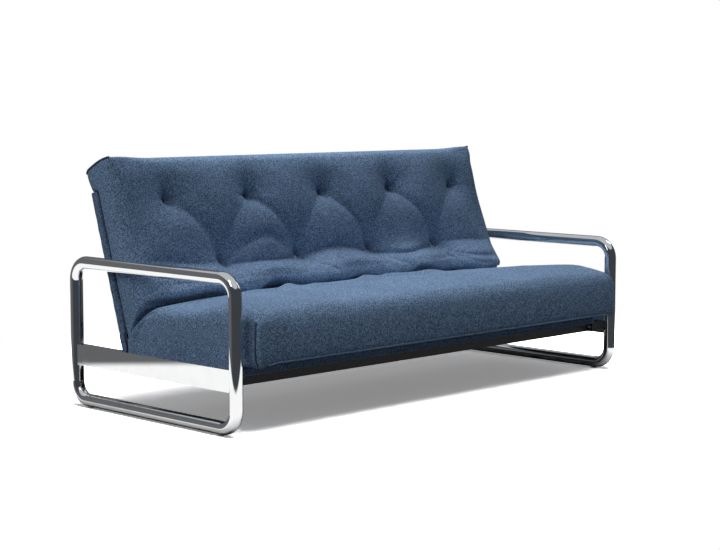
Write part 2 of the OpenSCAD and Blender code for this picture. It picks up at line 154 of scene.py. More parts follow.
class Graph:
    """A material's node graph, with one method that adds any node."""

    def __init__(self, tree: bpy.types.NodeTree) -> None:
        """Start from an empty tree.

        Args:
            tree: The material's or the world's node tree.
        """
        self.tree = tree
        tree.nodes.clear()

    def node(self, kind: str, settings: dict[str, Any] | None = None, inputs: dict[Any, Any] | None = None,
             output: str | int = 0) -> Wire:
        """Add one node.

        Args:
            kind: The node's type name.
            settings: Properties that are set first, such as a Math node's operation.
            inputs: Values or wires for its sockets, by name or number.
            output: The output that is returned, by name or number.

        Returns:
            A wire from the named output.
        """
        made = self.tree.nodes.new(kind)
        for name, value in (settings or {}).items():
            setattr(made, name, value)
        for name, value in (inputs or {}).items():
            if isinstance(value, Wire):
                self.tree.links.new(value.socket, made.inputs[name])
            else:
                made.inputs[name].default_value = value
        outputs = made.outputs
        if not len(outputs):
            return Wire(self, None)
        if output == 0 and kind == "ShaderNodeMix":
            output = {"FLOAT": 0, "VECTOR": 1, "RGBA": 2}[made.data_type]
        return Wire(self, outputs[output])

    def place(self, scale: Sequence[float] = (1.0, 1.0, 1.0)) -> Wire:
        """Give the object's own coordinates, scaled."""
        where = self.node("ShaderNodeTexCoord", output="Object")
        return self.node("ShaderNodeMapping", {}, {"Vector": where, "Scale": tuple(scale)})

    def noise(self, where: Wire, scale: float, detail: float = 2.0, roughness: float = 0.5,
              distortion: float = 0.0) -> Wire:
        """Add fractal noise.

        Args:
            where: The coordinates.
            scale: Lumps per metre.
            detail: Octaves.
            roughness: Weight of the finer octaves.
            distortion: How far the lumps are pulled about.

        Returns:
            The noise, about 0.5.
        """
        inputs = {"Vector": where, "Scale": scale, "Detail": detail, "Roughness": roughness,
                  "Distortion": distortion}
        return self.node("ShaderNodeTexNoise", {}, inputs, "Fac")

    def cells(self, where: Wire, scale: float, output: str = "Distance") -> Wire:
        """Add a Voronoi pattern.

        Args:
            where: The coordinates.
            scale: Cells per metre.
            output: The output wanted.

        Returns:
            That output.
        """
        inputs = {"Vector": where, "Scale": scale}
        return self.node("ShaderNodeTexVoronoi", {"feature": "F1"}, inputs, output)

    def blend(self, mask: Wire | float, low: Colour | Wire, high: Colour | Wire) -> Wire:
        """Mix two colours.

        Args:
            mask: 0 gives low and 1 gives high.
            low: A colour or a wire.
            high: A colour or a wire.

        Returns:
            The mixed colour.
        """
        low, high = (c if isinstance(c, Wire) else (*c, 1.0) for c in (low, high))
        return self.node("ShaderNodeMix", {"data_type": "RGBA"}, {0: mask, 6: low, 7: high})

    def bump(self, height: Wire, distance: float, strength: float) -> Wire:
        """Turn a height into a normal.

        Args:
            height: The height, from 0 to 1.
            distance: The height of 1, in metres.
            strength: How much of it shows.

        Returns:
            The normal.
        """
        inputs = {"Height": height, "Distance": distance, "Strength": strength}
        return self.node("ShaderNodeBump", {}, inputs)

    def vectors(self, operation: str, *values: Wire | Sequence[float], output: str | int = 0) -> Wire:
        """Feed vectors to one Vector Math node.

        Args:
            operation: The node's operation.
            values: Its inputs.
            output: The output that is returned, by name or number.

        Returns:
            The node's result.
        """
        return self.node("ShaderNodeVectorMath", {"operation": operation}, dict(enumerate(values)), output)

    def ray(self, kind: str) -> Wire:
        """Tell the rays of one kind from the others."""
        return self.node("ShaderNodeLightPath", {}, {}, kind)

    def mix(self, mask: Wire, low: Wire, high: Wire) -> Wire:
        """Mix two shaders, where 0 gives low and 1 gives high."""
        return self.node("ShaderNodeMixShader", {}, {0: mask, 1: low, 2: high})


def toned(colour: Colour, share: float, more: float = 0.0) -> Colour:
    """Give a colour's lighter or darker tone, no brighter than white."""
    return tuple(min(1.0, share * c + more) for c in colour)


class Finish:
    """Base of the finishes: makes a material once and keeps it."""

    made: dict[str, bpy.types.Material] = {}
    name: str
    slot: str

    def material(self) -> bpy.types.Material:
        """Make this finish's material on its first use.

        Returns:
            The material.
        """
        if self.name not in Finish.made:
            material = bpy.data.materials.new(self.name)
            material.use_nodes = True
            graph = Graph(material.node_tree)
            shader = graph.node("ShaderNodeBsdfPrincipled", {}, self.sockets(graph))
            graph.node("ShaderNodeOutputMaterial", {}, {"Surface": shader})
            Finish.made[self.name] = material
        return Finish.made[self.name]

    def sockets(self, graph: Graph) -> dict[str, Any]:
        """Give the shader's sockets.

        Args:
            graph: The graph that nodes go into.

        Returns:
            Values or wires by socket name.
        """
        raise NotImplementedError

    def dress(self, obj: bpy.types.Object) -> None:
        """Put this finish on all of an object."""
        obj.data.materials.clear()
        obj.data.materials.append(self.material())


@dataclass(frozen=True)
class Chrome(Finish):
    """Bright chrome plate on drawn steel tube."""

    name: str = "bright_chrome"
    slot: str = "chromed_tube"
    colour: Colour = (0.93, 0.935, 0.94)
    roughness: float = 0.01

    def sockets(self, graph: Graph) -> dict[str, Any]:
        """Give polished plate with faint drawing marks and handling smears.

        Args:
            graph: The graph that nodes go into.

        Returns:
            The shader's sockets.
        """
        where = graph.place()
        smears = graph.noise(where, 14.0, detail=4.0, roughness=0.6)
        marks = graph.noise(graph.place((60.0, 4.0, 60.0)), 18.0)
        rough = self.roughness + smears.ramp(0.55, 0.8) * 0.02 + marks * 0.008
        tint = graph.blend(smears.ramp(0.4, 0.75), self.colour, toned(self.colour, 0.96))
        return {"Base Color": tint, "Metallic": 1.0, "Roughness": rough}


@dataclass(frozen=True)
class PowderCoat(Finish):
    """Semi-gloss black powder coat with a fine orange peel."""

    name: str = "black_powder_coat"
    slot: str = "black_steel"
    colour: Colour = (0.011, 0.011, 0.012)

    def sockets(self, graph: Graph) -> dict[str, Any]:
        """Give coated steel, a little duller where it is handled.

        Args:
            graph: The graph that nodes go into.

        Returns:
            The shader's sockets.
        """
        where = graph.place()
        peel = graph.noise(where, 900.0)
        wear = graph.noise(where, 22.0, detail=3.0)
        colour = graph.blend(wear.ramp(0.4, 0.8), self.colour, toned(self.colour, 1.7))
        return {"Base Color": colour, "Roughness": 0.38 + wear * 0.16, "Specular IOR Level": 0.3,
                "Normal": graph.bump(peel, 0.0002, 0.35)}


@dataclass(frozen=True)
class ZincPlate(Finish):
    """Bright zinc plate on stamped steel."""

    name: str = "zinc_plate"
    slot: str = "plated_steel"
    colour: Colour = (0.74, 0.75, 0.77)

    def sockets(self, graph: Graph) -> dict[str, Any]:
        """Give plated steel with a soft spangle and rubbing marks.

        Args:
            graph: The graph that nodes go into.

        Returns:
            The shader's sockets.
        """
        where = graph.place()
        spangle = graph.cells(where, 240.0, "Color")
        rubbed = graph.noise(graph.place((1.0, 12.0, 12.0)), 60.0, detail=4.0)
        tone = graph.node("ShaderNodeSeparateColor", {}, {"Color": spangle})
        colour = graph.blend(tone * 0.35, self.colour, toned(self.colour, 0.8))
        return {"Base Color": colour, "Metallic": 1.0, "Roughness": 0.22 + rubbed * 0.2,
                "Normal": graph.bump(rubbed, 0.0001, 0.3)}


@dataclass(frozen=True)
class Moulded(Finish):
    """A moulded plastic or rubber with a fine spark-eroded grain."""

    name: str
    slot: str
    colour: Colour
    roughness: float = 0.45
    grain: float = 0.0002

    def sockets(self, graph: Graph) -> dict[str, Any]:
        """Give moulded plastic with a fine grain and slight scuffing.

        Args:
            graph: The graph that nodes go into.

        Returns:
            The shader's sockets.
        """
        where = graph.place()
        grain = graph.noise(where, 1400.0)
        scuff = graph.noise(where, 35.0, detail=4.0, roughness=0.6)
        colour = graph.blend(scuff.ramp(0.45, 0.85) * 0.5, self.colour, toned(self.colour, 1.25, 0.01))
        return {"Base Color": colour, "Roughness": self.roughness + scuff * 0.15,
                "Normal": graph.bump(grain, self.grain, 0.5)}


@dataclass(frozen=True)
class BentBeech(Finish):
    """Clear-coated beech ply of a sprung slat, with its grain along the deck."""

    name: str
    slot: str
    along: Sequence[float]
    pale: Colour = (0.62, 0.44, 0.26)
    dark: Colour = (0.44, 0.28, 0.15)

    def sockets(self, graph: Graph) -> dict[str, Any]:
        """Give straight-grained beech with short dark rays under a thin lacquer.

        Args:
            graph: The graph that nodes go into.

        Returns:
            The shader's sockets.
        """
        where = graph.place(self.along)
        figure = graph.noise(where, 26.0, detail=5.0, roughness=0.6, distortion=0.4)
        rays = graph.cells(where, 170.0)
        flecks = 1.0 - rays.ramp(0.05, 0.3)
        base = graph.blend(figure.ramp(0.3, 0.7), self.pale, self.dark)
        colour = graph.blend(flecks * 0.35, base, toned(self.dark, 0.6))
        return {"Base Color": colour, "Roughness": 0.34 + figure * 0.2, "Coat Weight": 0.25,
                "Coat Roughness": 0.25, "Normal": graph.bump(figure + flecks * 0.4, 0.0003, 0.4)}


@dataclass(frozen=True)
class WovenCloth(Finish):
    """A plain weave of thick mixed yarns: short light and dark stretches, with a fine fuzz."""

    name: str
    slot: str
    colour: Colour
    yarn: float = 0.0024
    mixed: float = 0.55
    relief: float = 0.0007

    def sockets(self, graph: Graph) -> dict[str, Any]:
        """Give the weave's colour, yarns and fuzz.

        Args:
            graph: The graph that nodes go into.

        Returns:
            The shader's sockets.
        """
        where = graph.place()
        knots = graph.cells(where, 1.0 / self.yarn)
        flecks = graph.noise(where, 0.56 / self.yarn, roughness=0.7, distortion=0.3)
        stretches = graph.noise(where, 0.24 / self.yarn, roughness=0.6)
        cloud = graph.noise(where, 4.0)
        tone = (flecks - 0.5) * 6.0 + (stretches - 0.5) * 0.4 + (cloud - 0.5) * 0.3
        tone = tone - (knots - 0.45) * 0.7 + 0.5
        low, high = toned(self.colour, 1.0 - self.mixed), toned(self.colour, 1.0 + self.mixed)
        colour = graph.blend(tone.ramp(0.0, 1.0), low, high)
        height = (1.0 - knots) * 0.6 + flecks * 0.8
        return {"Base Color": colour, "Roughness": 0.95, "Specular IOR Level": 0.2, "Sheen Weight": 0.05,
                "Sheen Roughness": 0.5, "Sheen Tint": (0.7, 0.8, 0.92, 1.0),
                "Normal": graph.bump(height, self.relief, 0.7)}


@dataclass(frozen=True)
class Thread(Finish):
    """Twisted sewing thread, near black: its dark colour is partly painted shade at the bottom of the tuft
    pits.
    """

    name: str = "sewing_thread"
    slot: str = "mattress_fabric"
    colour: Colour = (0.03, 0.05, 0.08)

    def sockets(self, graph: Graph) -> dict[str, Any]:
        """Give dark thread with a fine twist.

        Args:
            graph: The graph that nodes go into.

        Returns:
            The shader's sockets.
        """
        twist = graph.noise(graph.place((1.0, 1.0, 3.0)), 900.0)
        colour = graph.blend(twist, self.colour, toned(self.colour, 1.8))
        return {"Base Color": colour, "Roughness": 0.7, "Normal": graph.bump(twist, 0.0003, 0.5)}


CHROME = Chrome()
BLACK = PowderCoat()
ZINC = ZincPlate()
NYLON = Moulded("white_nylon", "white_nylon", (0.72, 0.72, 0.68), 0.4)
TAN = Moulded("tan_glide", "tan_glide", (0.60, 0.47, 0.29), 0.5)
RUBBER = Moulded("black_rubber", "black_rubber", (0.022, 0.022, 0.022), 0.75, 0.0004)
CAP = Moulded("black_cap", "black_plastic", (0.02, 0.02, 0.021), 0.5)
SEAT_SLAT = BentBeech("beech_along_seat", "beech_slat", (9.0, 1.0, 9.0))
BACK_SLAT = BentBeech("beech_along_back", "beech_slat", (9.0, 4.0, 1.0))
# darker than the mattress cloth: partly the deck fabric's own tone, partly painted shade under the
# mattress's overhang
DECK_CLOTH = WovenCloth("deck_cloth", "deck_fabric", (0.120, 0.190, 0.300), 0.0022)
MATTRESS_CLOTH = WovenCloth("mattress_cloth", "mattress_fabric", (0.174, 0.270, 0.423))
# the seam cords' near-black cloth is painted shade along the seat's corner seams and the back's top end
# edges
PAINTED_SHADE_CORD = WovenCloth("mattress_piping", "mattress_fabric", (0.045, 0.072, 0.115), 0.0016, 0.35)
# the front cord's cloth is lighter than the mattress cloth: a painted highlight along the lower front edge
PAINTED_HIGHLIGHT_CORD = WovenCloth("mattress_edge_cord", "mattress_fabric", (0.230, 0.360, 0.540), 0.0016, 0.35)
# near-black thread of the tuft knots, partly painted shade at the bottom of the pits
PIT_SHADE_THREAD = Thread()


# ---------------------------------------------------------------- places


def smooth(x: Points | float, low: float, high: float) -> Points:
    """Rise smoothly from 0 at low to 1 at high.

    Args:
        x: The values.
        low: Where the rise starts.
        high: Where it ends.

    Returns:
        The risen values.
    """
    t = np.clip((np.asarray(x, float) - low) / (high - low), 0.0, 1.0)
    return t * t * (3.0 - 2.0 * t)


class Half(Enum):
    """The two halves of the sofa, each with its deck and its part of the mattress."""

    SEAT = "seat"
    BACK = "back"


@dataclass(frozen=True)
class DeckPlane:
    """Where a point over a deck lies, from its place across, along and above the deck.

    Along and above are counted from the hinge axis, in the deck's middle plane.
    """

    hinge_y: float
    hinge_z: float
    lean: float
    turn: float

    def put(self, across: Points, along: Points, above: Points) -> Points:
        """Turn deck places into the row frame.

        Args:
            across: X.
            along: Distance along the deck from the hinge axis.
            above: Distance above the deck's middle plane.

        Returns:
            Points, one row each.
        """
        cos, sin = math.cos(self.lean), math.sin(self.lean)
        y = self.hinge_y + self.turn * (along * cos - above * sin)
        z = self.hinge_z + along * sin + above * cos
        return np.stack([np.broadcast_to(across, np.shape(y)), y, z], axis=-1)


class Frame:
    """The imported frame: sizes and places that the pieces are built to."""

    def __init__(self, frame: dict[str, Any]) -> None:
        """Read the frame.
        """
        self.nodes = frame["nodes"]
        joints = {joint["name"]: joint for joint in frame["joints"]}
        fold = joints["back_fold"]
        _, hinge_y, hinge_z = fold["pos_m"]
        lean = math.radians(max(fold["range_deg"]))
        self.seat = DeckPlane(hinge_y, hinge_z, 0.0, -1.0)
        self.back = DeckPlane(hinge_y, hinge_z, lean, 1.0)
        low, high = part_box("seat_deck_cover")
        self.deck_t = high.z - low.z
        self.half_w = high.x
        self.seat_end = hinge_y - low.y
        self.fold_gap = hinge_y - high.y
        low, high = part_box("back_deck_cover")
        corner = high.z - hinge_z
        self.back_end = (corner - 0.5 * self.deck_t * math.cos(lean)) / math.sin(lean)
        low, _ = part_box("seat_mattress")
        self.mattress_front = hinge_y - low.y

    def plane(self, half: Half) -> DeckPlane:
        """Give the plane of a half's deck."""
        return self.seat if half is Half.SEAT else self.back


# ---------------------------------------------------------------- curves and meshes


@dataclass(frozen=True)
class Curve:
    """A smooth curve through knots of place and value, flat beyond them."""

    knots: Sequence[tuple[float, float]]

    def at(self, x: Points) -> Points:
        """Give the curve's values.

        Args:
            x: The places where they are wanted.

        Returns:
            The values.
        """
        place, value = np.array(self.knots, float).T
        slope = np.gradient(value, place)
        x = np.clip(x, place[0], place[-1])
        n = np.clip(np.searchsorted(place, x, side="right") - 1, 0, len(place) - 2)
        width = place[n + 1] - place[n]
        f = (x - place[n]) / width
        return ((1 + 2 * f) * (1 - f) ** 2 * value[n] + f * (1 - f) ** 2 * width * slope[n]
                + f * f * (3 - 2 * f) * value[n + 1] + f * f * (f - 1) * width * slope[n + 1])


def spline(points: Points, cuts: int) -> Points:
    """Run a smooth curve through points.

    Args:
        points: Knots, one row each.
        cuts: Pieces between two knots.

    Returns:
        Points on the curve.
    """
    padded = np.vstack([2 * points[0] - points[1], points, 2 * points[-1] - points[-2]])
    out = []
    for n in range(1, len(padded) - 2):
        a, b, c, d = padded[n - 1:n + 3]
        for t in np.arange(cuts) / cuts:
            out.append(0.5 * (2 * b + (c - a) * t + (2 * a - 5 * b + 4 * c - d) * t * t
                              + (3 * b - a - 3 * c + d) * t ** 3))
    out.append(points[-1])
    return np.array(out)


def box_grid(steps: Sequence[int]) -> tuple[Points, Points]:
    """Make the grid of a box's surface.

    Args:
        steps: The squares along the box's three directions.

    Returns:
        Whole-number places of the points, and four corners for each face.
    """
    grid = np.indices([n + 1 for n in steps])
    outer = np.zeros(grid.shape[1:], bool)
    for axis in range(3):
        for side in (0, -1):
            outer[(slice(None),) * axis + (side,)] = True
    index = np.full(outer.shape, -1)
    index[outer] = np.arange(outer.sum())
    faces = []
    for axis in range(3):
        for side in (0, -1):
            sheet = index[(slice(None),) * axis + (side,)]
            corners = (sheet[:-1, :-1], sheet[1:, :-1], sheet[1:, 1:], sheet[:-1, 1:])
            quads = np.stack(corners, -1).reshape(-1, 4)
            outward = (side == -1) == (axis != 1)
            faces.append(quads if outward else quads[:, ::-1])
    return grid[:, outer].T, np.concatenate(faces)


def rounded(p: Points, low: Points, high: Points, radius: Points) -> Points:
    """Round the edges of a box that the points lie on.

    Args:
        p: The points.
        low: The box's low corner.
        high: Its high corner.
        radius: The rounding at each point.

    Returns:
        The moved points.
    """
    core = np.clip(p, low + radius[:, None], high - radius[:, None])
    out = p - core
    length = np.linalg.norm(out, axis=1, keepdims=True)
    return np.where(length > 1e-9, core + out / np.maximum(length, 1e-9) * radius[:, None], p)


def mesh_object(name: str, points: Points, faces: Points | Sequence[Sequence[int]]) -> bpy.types.Object:
    """Make a smooth-shaded object.

    Args:
        name: Its name.
        points: Its points.
        faces: Its faces.

    Returns:
        The object, in the scene.
    """
    mesh = bpy.data.meshes.new(name)
    mesh.from_pydata(points.tolist(), [], faces.tolist() if isinstance(faces, np.ndarray) else faces)
    mesh.update()
    mesh.polygons.foreach_set("use_smooth", [True] * len(mesh.polygons))
    obj = bpy.data.objects.new(name, mesh)
    bpy.context.scene.collection.objects.link(obj)
    return obj


def apply_modifier(obj: bpy.types.Object, modifier: bpy.types.Modifier) -> None:
    """Apply a modifier and shade the result smoothly.

    Args:
        obj: The object.
        modifier: Its modifier.
    """
    bpy.ops.object.select_all(action="DESELECT")
    bpy.context.view_layer.objects.active = obj
    obj.select_set(True)
    bpy.ops.object.modifier_apply(modifier=modifier.name)
    obj.data.polygons.foreach_set("use_smooth", [True] * len(obj.data.polygons))


def mesh_points(mesh: bpy.types.Mesh) -> Points:
    """Read a mesh's points.

    Args:
        mesh: The mesh.

    Returns:
        Its points, one row each.
    """
    points = np.empty(3 * len(mesh.vertices))
    mesh.vertices.foreach_get("co", points)
    return points.reshape(-1, 3)


def cord_along(name: str, path: Points, radius: float, sides: int = 8) -> bpy.types.Object:
    """Make a closed round cord along a path.

    Args:
        name: Its name.
        path: The path, one row a point.
        radius: The cord's radius.
        sides: Sides of its section.

    Returns:
        The object, in the scene.
    """
    ahead = np.gradient(path, axis=0)
    ahead /= np.linalg.norm(ahead, axis=1, keepdims=True)
    side = np.cross(ahead[0], (0.31, 0.52, 0.79))
    rings = []
    for at, way in zip(path, ahead):
        side = side - way * (side @ way)
        side /= np.linalg.norm(side)
        up = np.cross(way, side)
        turn = 2.0 * math.pi * np.arange(sides) / sides
        rings.append(at + radius * (np.cos(turn)[:, None] * side + np.sin(turn)[:, None] * up))
    faces: list[Sequence[int]] = []
    for n in range(len(path) - 1):
        for k in range(sides):
            a, b = n * sides + k, n * sides + (k + 1) % sides
            faces.append((a, b, b + sides, a + sides))
    faces.append(tuple(range(sides))[::-1])
    faces.append(tuple((len(path) - 1) * sides + k for k in range(sides)))
    return mesh_object(name, np.concatenate(rings), faces)


# ---------------------------------------------------------------- mattress


@dataclass(frozen=True)
class Fold:
    """A crease or ridge pressed into the cloth along a path over a deck.

    The path runs through places across and along the deck. Height is positive for a ridge. A low sharpness
    gives a creased line, and 2 a round one.
    """

    path: Sequence[tuple[float, float]]
    width: float
    height: float
    taper: float = 0.25
    sharpness: float = 1.4

    def lift(self, across: Points, along: Points) -> Points:
        """Give how far the fold lifts each point.

        Args:
            across: X of the points.
            along: Their places along the deck.

        Returns:
            The lift, in metres.
        """
        lift = np.zeros(np.shape(across))
        knots = spline(np.array(self.path, float), 6)
        reach = 3.2 * self.width
        low, high = knots.min(axis=0) - reach, knots.max(axis=0) + reach
        near = (across > low[0]) & (across < high[0]) & (along > low[1]) & (along < high[1])
        x, s = across[near], along[near]
        best = np.full(len(x), 1.0)
        at = np.zeros(len(x))
        steps = len(knots) - 1
        for n, (a, b) in enumerate(zip(knots[:-1], knots[1:])):
            d = b - a
            f = np.clip(((x - a[0]) * d[0] + (s - a[1]) * d[1]) / (d @ d), 0.0, 1.0)
            gap = np.hypot(x - a[0] - f * d[0], s - a[1] - f * d[1])
            nearer = gap < best
            best = np.where(nearer, gap, best)
            at = np.where(nearer, (n + f) / steps, at)
        strength = smooth(at, -0.001, self.taper) * smooth(1.0 - at, -0.001, self.taper)
        lift[near] = self.height * strength * np.exp(-((best / self.width) ** self.sharpness))
        return lift


@dataclass(frozen=True)
class Tuft:
    """One place where the mattress is drawn in by a thread through it."""

    across: float
    along: float
    depth: float
    turn: float = 0.0
    core_depth: float = 0.042
    core_radius: float = 0.0115

    def about(self, across: Points, along: Points, above: float, below: float) -> tuple[Points, Points]:
        """Give the distance and direction of points from the tuft.

        Args:
            across: X of the points.
            along: Their places along the deck.
            above: The scale of distances above the tuft.
            below: The scale of distances below it.

        Returns:
            Distances and angles.
        """
        dx, ds = across - self.across, along - self.along
        ds = np.where(ds > 0.0, above, below) * ds
        return np.hypot(dx, ds) + 1e-6, np.arctan2(ds, dx) + self.turn

    def lift(self, across: Points, along: Points) -> Points:
        """Give how far the tuft draws each point in, with the pleats about it.

        Args:
            across: X of the points.
            along: Their places along the deck.

        Returns:
            The lift, which is negative.
        """
        r, angle = self.about(across, along, 0.75, 1.15)
        pit = 0.50 * np.exp(-r / 0.016) + 0.50 * np.exp(-((r / 0.070) ** 1.4))
        pleats = (0.6 * np.cos(5 * angle) + 0.4 * np.cos(8 * angle + 1.3)) * np.exp(-r / 0.035)
        return -self.depth * pit + 0.09 * self.depth * (pleats * smooth(r, 0.0, 0.02))

    def core(self, across: Points, along: Points) -> Points:
        """Give the tight hollow at the thread and the short creases that run out of it.

        Args:
            across: X of the points.
            along: Their places along the deck.

        Returns:
            The lift, which is negative.
        """
        r, angle = self.about(across, along, 1.0, 1.0)
        creases = np.cos(2.5 * angle) ** 12 * np.exp(-r / 0.030) * smooth(r, 0.002, 0.010)
        return -self.core_depth * np.exp(-((r / self.core_radius) ** 1.5)) - 0.013 * creases


class Work(Enum):
    """What is pressed into the mattress."""

    TUFTS = "tufts"
    FOLDS = "folds"


UPPER_ROW, LOWER_ROW = 0.544, 0.286
UPPER_TUFTS = tuple(Tuft(0.4 * n + 0.028, UPPER_ROW, 0.062, 0.7 * n) for n in (-2, -1, 0, 1, 2))
LOWER_TUFTS = tuple(Tuft(0.2 * n + 0.024, LOWER_ROW, 0.056, 0.5 * n) for n in (-3, -1, 1, 3))
TUFTS = UPPER_TUFTS + LOWER_TUFTS

# heights over a deck's middle plane, by distance from the hinge or by X near the crease
SEAT_TOP = Curve(((0.20, 0.190), (0.33, 0.194), (0.44, 0.206), (0.54, 0.228), (0.64, 0.222), (0.70, 0.213),
                  (0.76, 0.200)))
SEAT_REAR = Curve(((-0.95, 0.176), (-0.86, 0.184), (-0.59, 0.188), (-0.40, 0.190), (-0.27, 0.193),
                   (-0.17, 0.186), (0.04, 0.193), (0.19, 0.200), (0.27, 0.189), (0.37, 0.184),
                   (0.50, 0.186), (0.65, 0.190), (0.80, 0.196), (0.97, 0.198)))
BACK_ENDS = Curve(((0.08, 0.160), (0.16, 0.166), (0.20, 0.167), (0.25, 0.161), (0.34, 0.153), (0.49, 0.141),
                   (0.65, 0.145), (0.72, 0.134)))
BACK_MIDDLE = Curve(((0.09, 0.182), (0.13, 0.198), (0.18, 0.206), (0.22, 0.203), (0.26, 0.191),
                     (0.30, 0.182), (0.36, 0.181), (0.44, 0.181), (0.53, 0.177), (0.61, 0.167),
                     (0.66, 0.159), (0.72, 0.134)))
# how far forward the crease strays, by X
CREASE_STRAY = Curve(((-1.0, 0.0), (-0.80, 0.004), (-0.50, 0.010), (-0.37, -0.014), (-0.26, 0.002),
                      (-0.08, 0.012), (0.07, -0.016), (0.17, -0.012), (0.31, 0.018), (0.46, 0.012),
                      (0.65, -0.018), (0.72, 0.016), (0.84, 0.008), (1.0, 0.0)))


def wave(height: float, hollow: float, *crest: tuple[float, float]) -> tuple[Fold, Fold]:
    """Make one wave of slack cloth: a round crest and the hollow behind it.

    Args:
        height: The crest's height.
        hollow: The hollow's depth.
        crest: The crest's path over the deck.

    Returns:
        The crest and the hollow.
    """
    behind = [(across, along - 0.042) for across, along in crest]
    return Fold(crest, 0.032, height, 0.20, 1.7), Fold(behind, 0.022, -hollow, 0.20, 1.4)


def drawn_up(tuft: Tuft, side: float, width: float, height: float) -> Fold:
    """Make the long fold from a lower tuft to the upper tuft on one side of it.

    Args:
        tuft: The lower tuft.
        side: How far across the upper tuft is.
        width: The fold's width.
        height: Its height.

    Returns:
        The fold.
    """
    low = tuft.across
    path = ((low, LOWER_ROW), (low + 0.18 * side, 0.365), (low + 0.45 * side, 0.448),
            (low + side, UPPER_ROW))
    return Fold(path, width, height, 0.06, 1.4)


SEAT_FOLDS = (
    # waves in front of the crease
    *wave(0.015, 0.012, (-0.68, 0.190), (-0.60, 0.256), (-0.54, 0.282), (-0.49, 0.276), (-0.40, 0.216),
          (-0.34, 0.180), (-0.30, 0.140)),
    *wave(0.015, 0.012, (-0.34, 0.190), (-0.28, 0.244), (-0.22, 0.264), (-0.10, 0.266), (0.02, 0.206),
          (0.14, 0.146), (0.20, 0.110)),
    *wave(0.015, 0.012, (0.14, 0.140), (0.24, 0.205), (0.34, 0.226), (0.46, 0.190), (0.56, 0.130)),
    *wave(0.006, 0.006, (-0.08, 0.345), (0.05, 0.314), (0.13, 0.342), (0.24, 0.364)),
    # short creases between them
    Fold(((0.64, 0.220), (0.74, 0.190), (0.86, 0.185), (0.94, 0.200)), 0.013, -0.020, 0.25, 1.3),
    Fold(((-0.50, 0.165), (-0.42, 0.150), (-0.34, 0.155)), 0.010, -0.008, 0.25, 1.2),
    Fold(((-0.04, 0.165), (0.06, 0.140), (0.14, 0.150)), 0.010, -0.008, 0.25, 1.2),
    Fold(((-0.94, 0.30), (-0.84, 0.235), (-0.72, 0.215)), 0.020, -0.006),
)
BACK_FOLDS = (
    # the upper border of the lower roll, from tuft to tuft
    Fold(((-0.97, 0.310), (-0.86, 0.302), (-0.74, 0.282), (-0.60, 0.276)), 0.020, -0.010, 0.30, 1.2),
    Fold(((-0.60, 0.276), (-0.47, 0.272), (-0.33, 0.270), (-0.20, 0.276)), 0.016, -0.020, 0.04, 1.1),
    Fold(((-0.20, 0.276), (-0.07, 0.299), (0.03, 0.307), (0.12, 0.293), (0.20, 0.276)),
         0.016, -0.022, 0.04, 1.1),
    Fold(((0.20, 0.276), (0.29, 0.260), (0.39, 0.252), (0.50, 0.261), (0.60, 0.276)),
         0.016, -0.022, 0.04, 1.1),
    Fold(((0.60, 0.276), (0.68, 0.286), (0.80, 0.288), (0.96, 0.278)), 0.018, -0.012, 0.20, 1.2),
    # the arch over the roll between the first two lower tufts
    Fold(((-0.57, 0.292), (-0.48, 0.335), (-0.40, 0.362), (-0.33, 0.368), (-0.27, 0.340), (-0.22, 0.290)),
         0.020, -0.012, 0.20, 1.5),
    # creases on the roll
    Fold(((0.24, 0.245), (0.31, 0.215), (0.37, 0.180)), 0.011, -0.007),
    Fold(((0.21, 0.235), (0.25, 0.200), (0.30, 0.170)), 0.010, -0.004),
    Fold(((-0.16, 0.250), (-0.10, 0.225), (-0.06, 0.195)), 0.010, -0.004),
    Fold(((0.62, 0.255), (0.72, 0.225), (0.84, 0.210), (0.96, 0.205)), 0.012, -0.009),
    Fold(((0.64, 0.240), (0.74, 0.195), (0.90, 0.168)), 0.010, -0.007),
    Fold(((0.60, 0.250), (0.64, 0.215), (0.70, 0.175)), 0.010, -0.005),
    *(drawn_up(tuft, side, width, height) for tuft in LOWER_TUFTS
      for side, width, height in ((-0.2, 0.022, -0.0125), (0.2, 0.028, -0.0070))),
)
# folds of the end faces, over the seat deck's depth and height
END_FOLDS = (
    Fold(((0.064, 0.030), (0.066, 0.080), (0.082, 0.116), (0.118, 0.146), (0.185, 0.172)),
         0.006, -0.010, 0.15, 1.3),
    Fold(((0.084, 0.030), (0.086, 0.075), (0.104, 0.112), (0.140, 0.136)), 0.006, -0.006, 0.20, 1.3),
    Fold(((0.074, 0.030), (0.076, 0.078), (0.094, 0.114), (0.130, 0.142)), 0.006, 0.005, 0.20, 1.6),
)


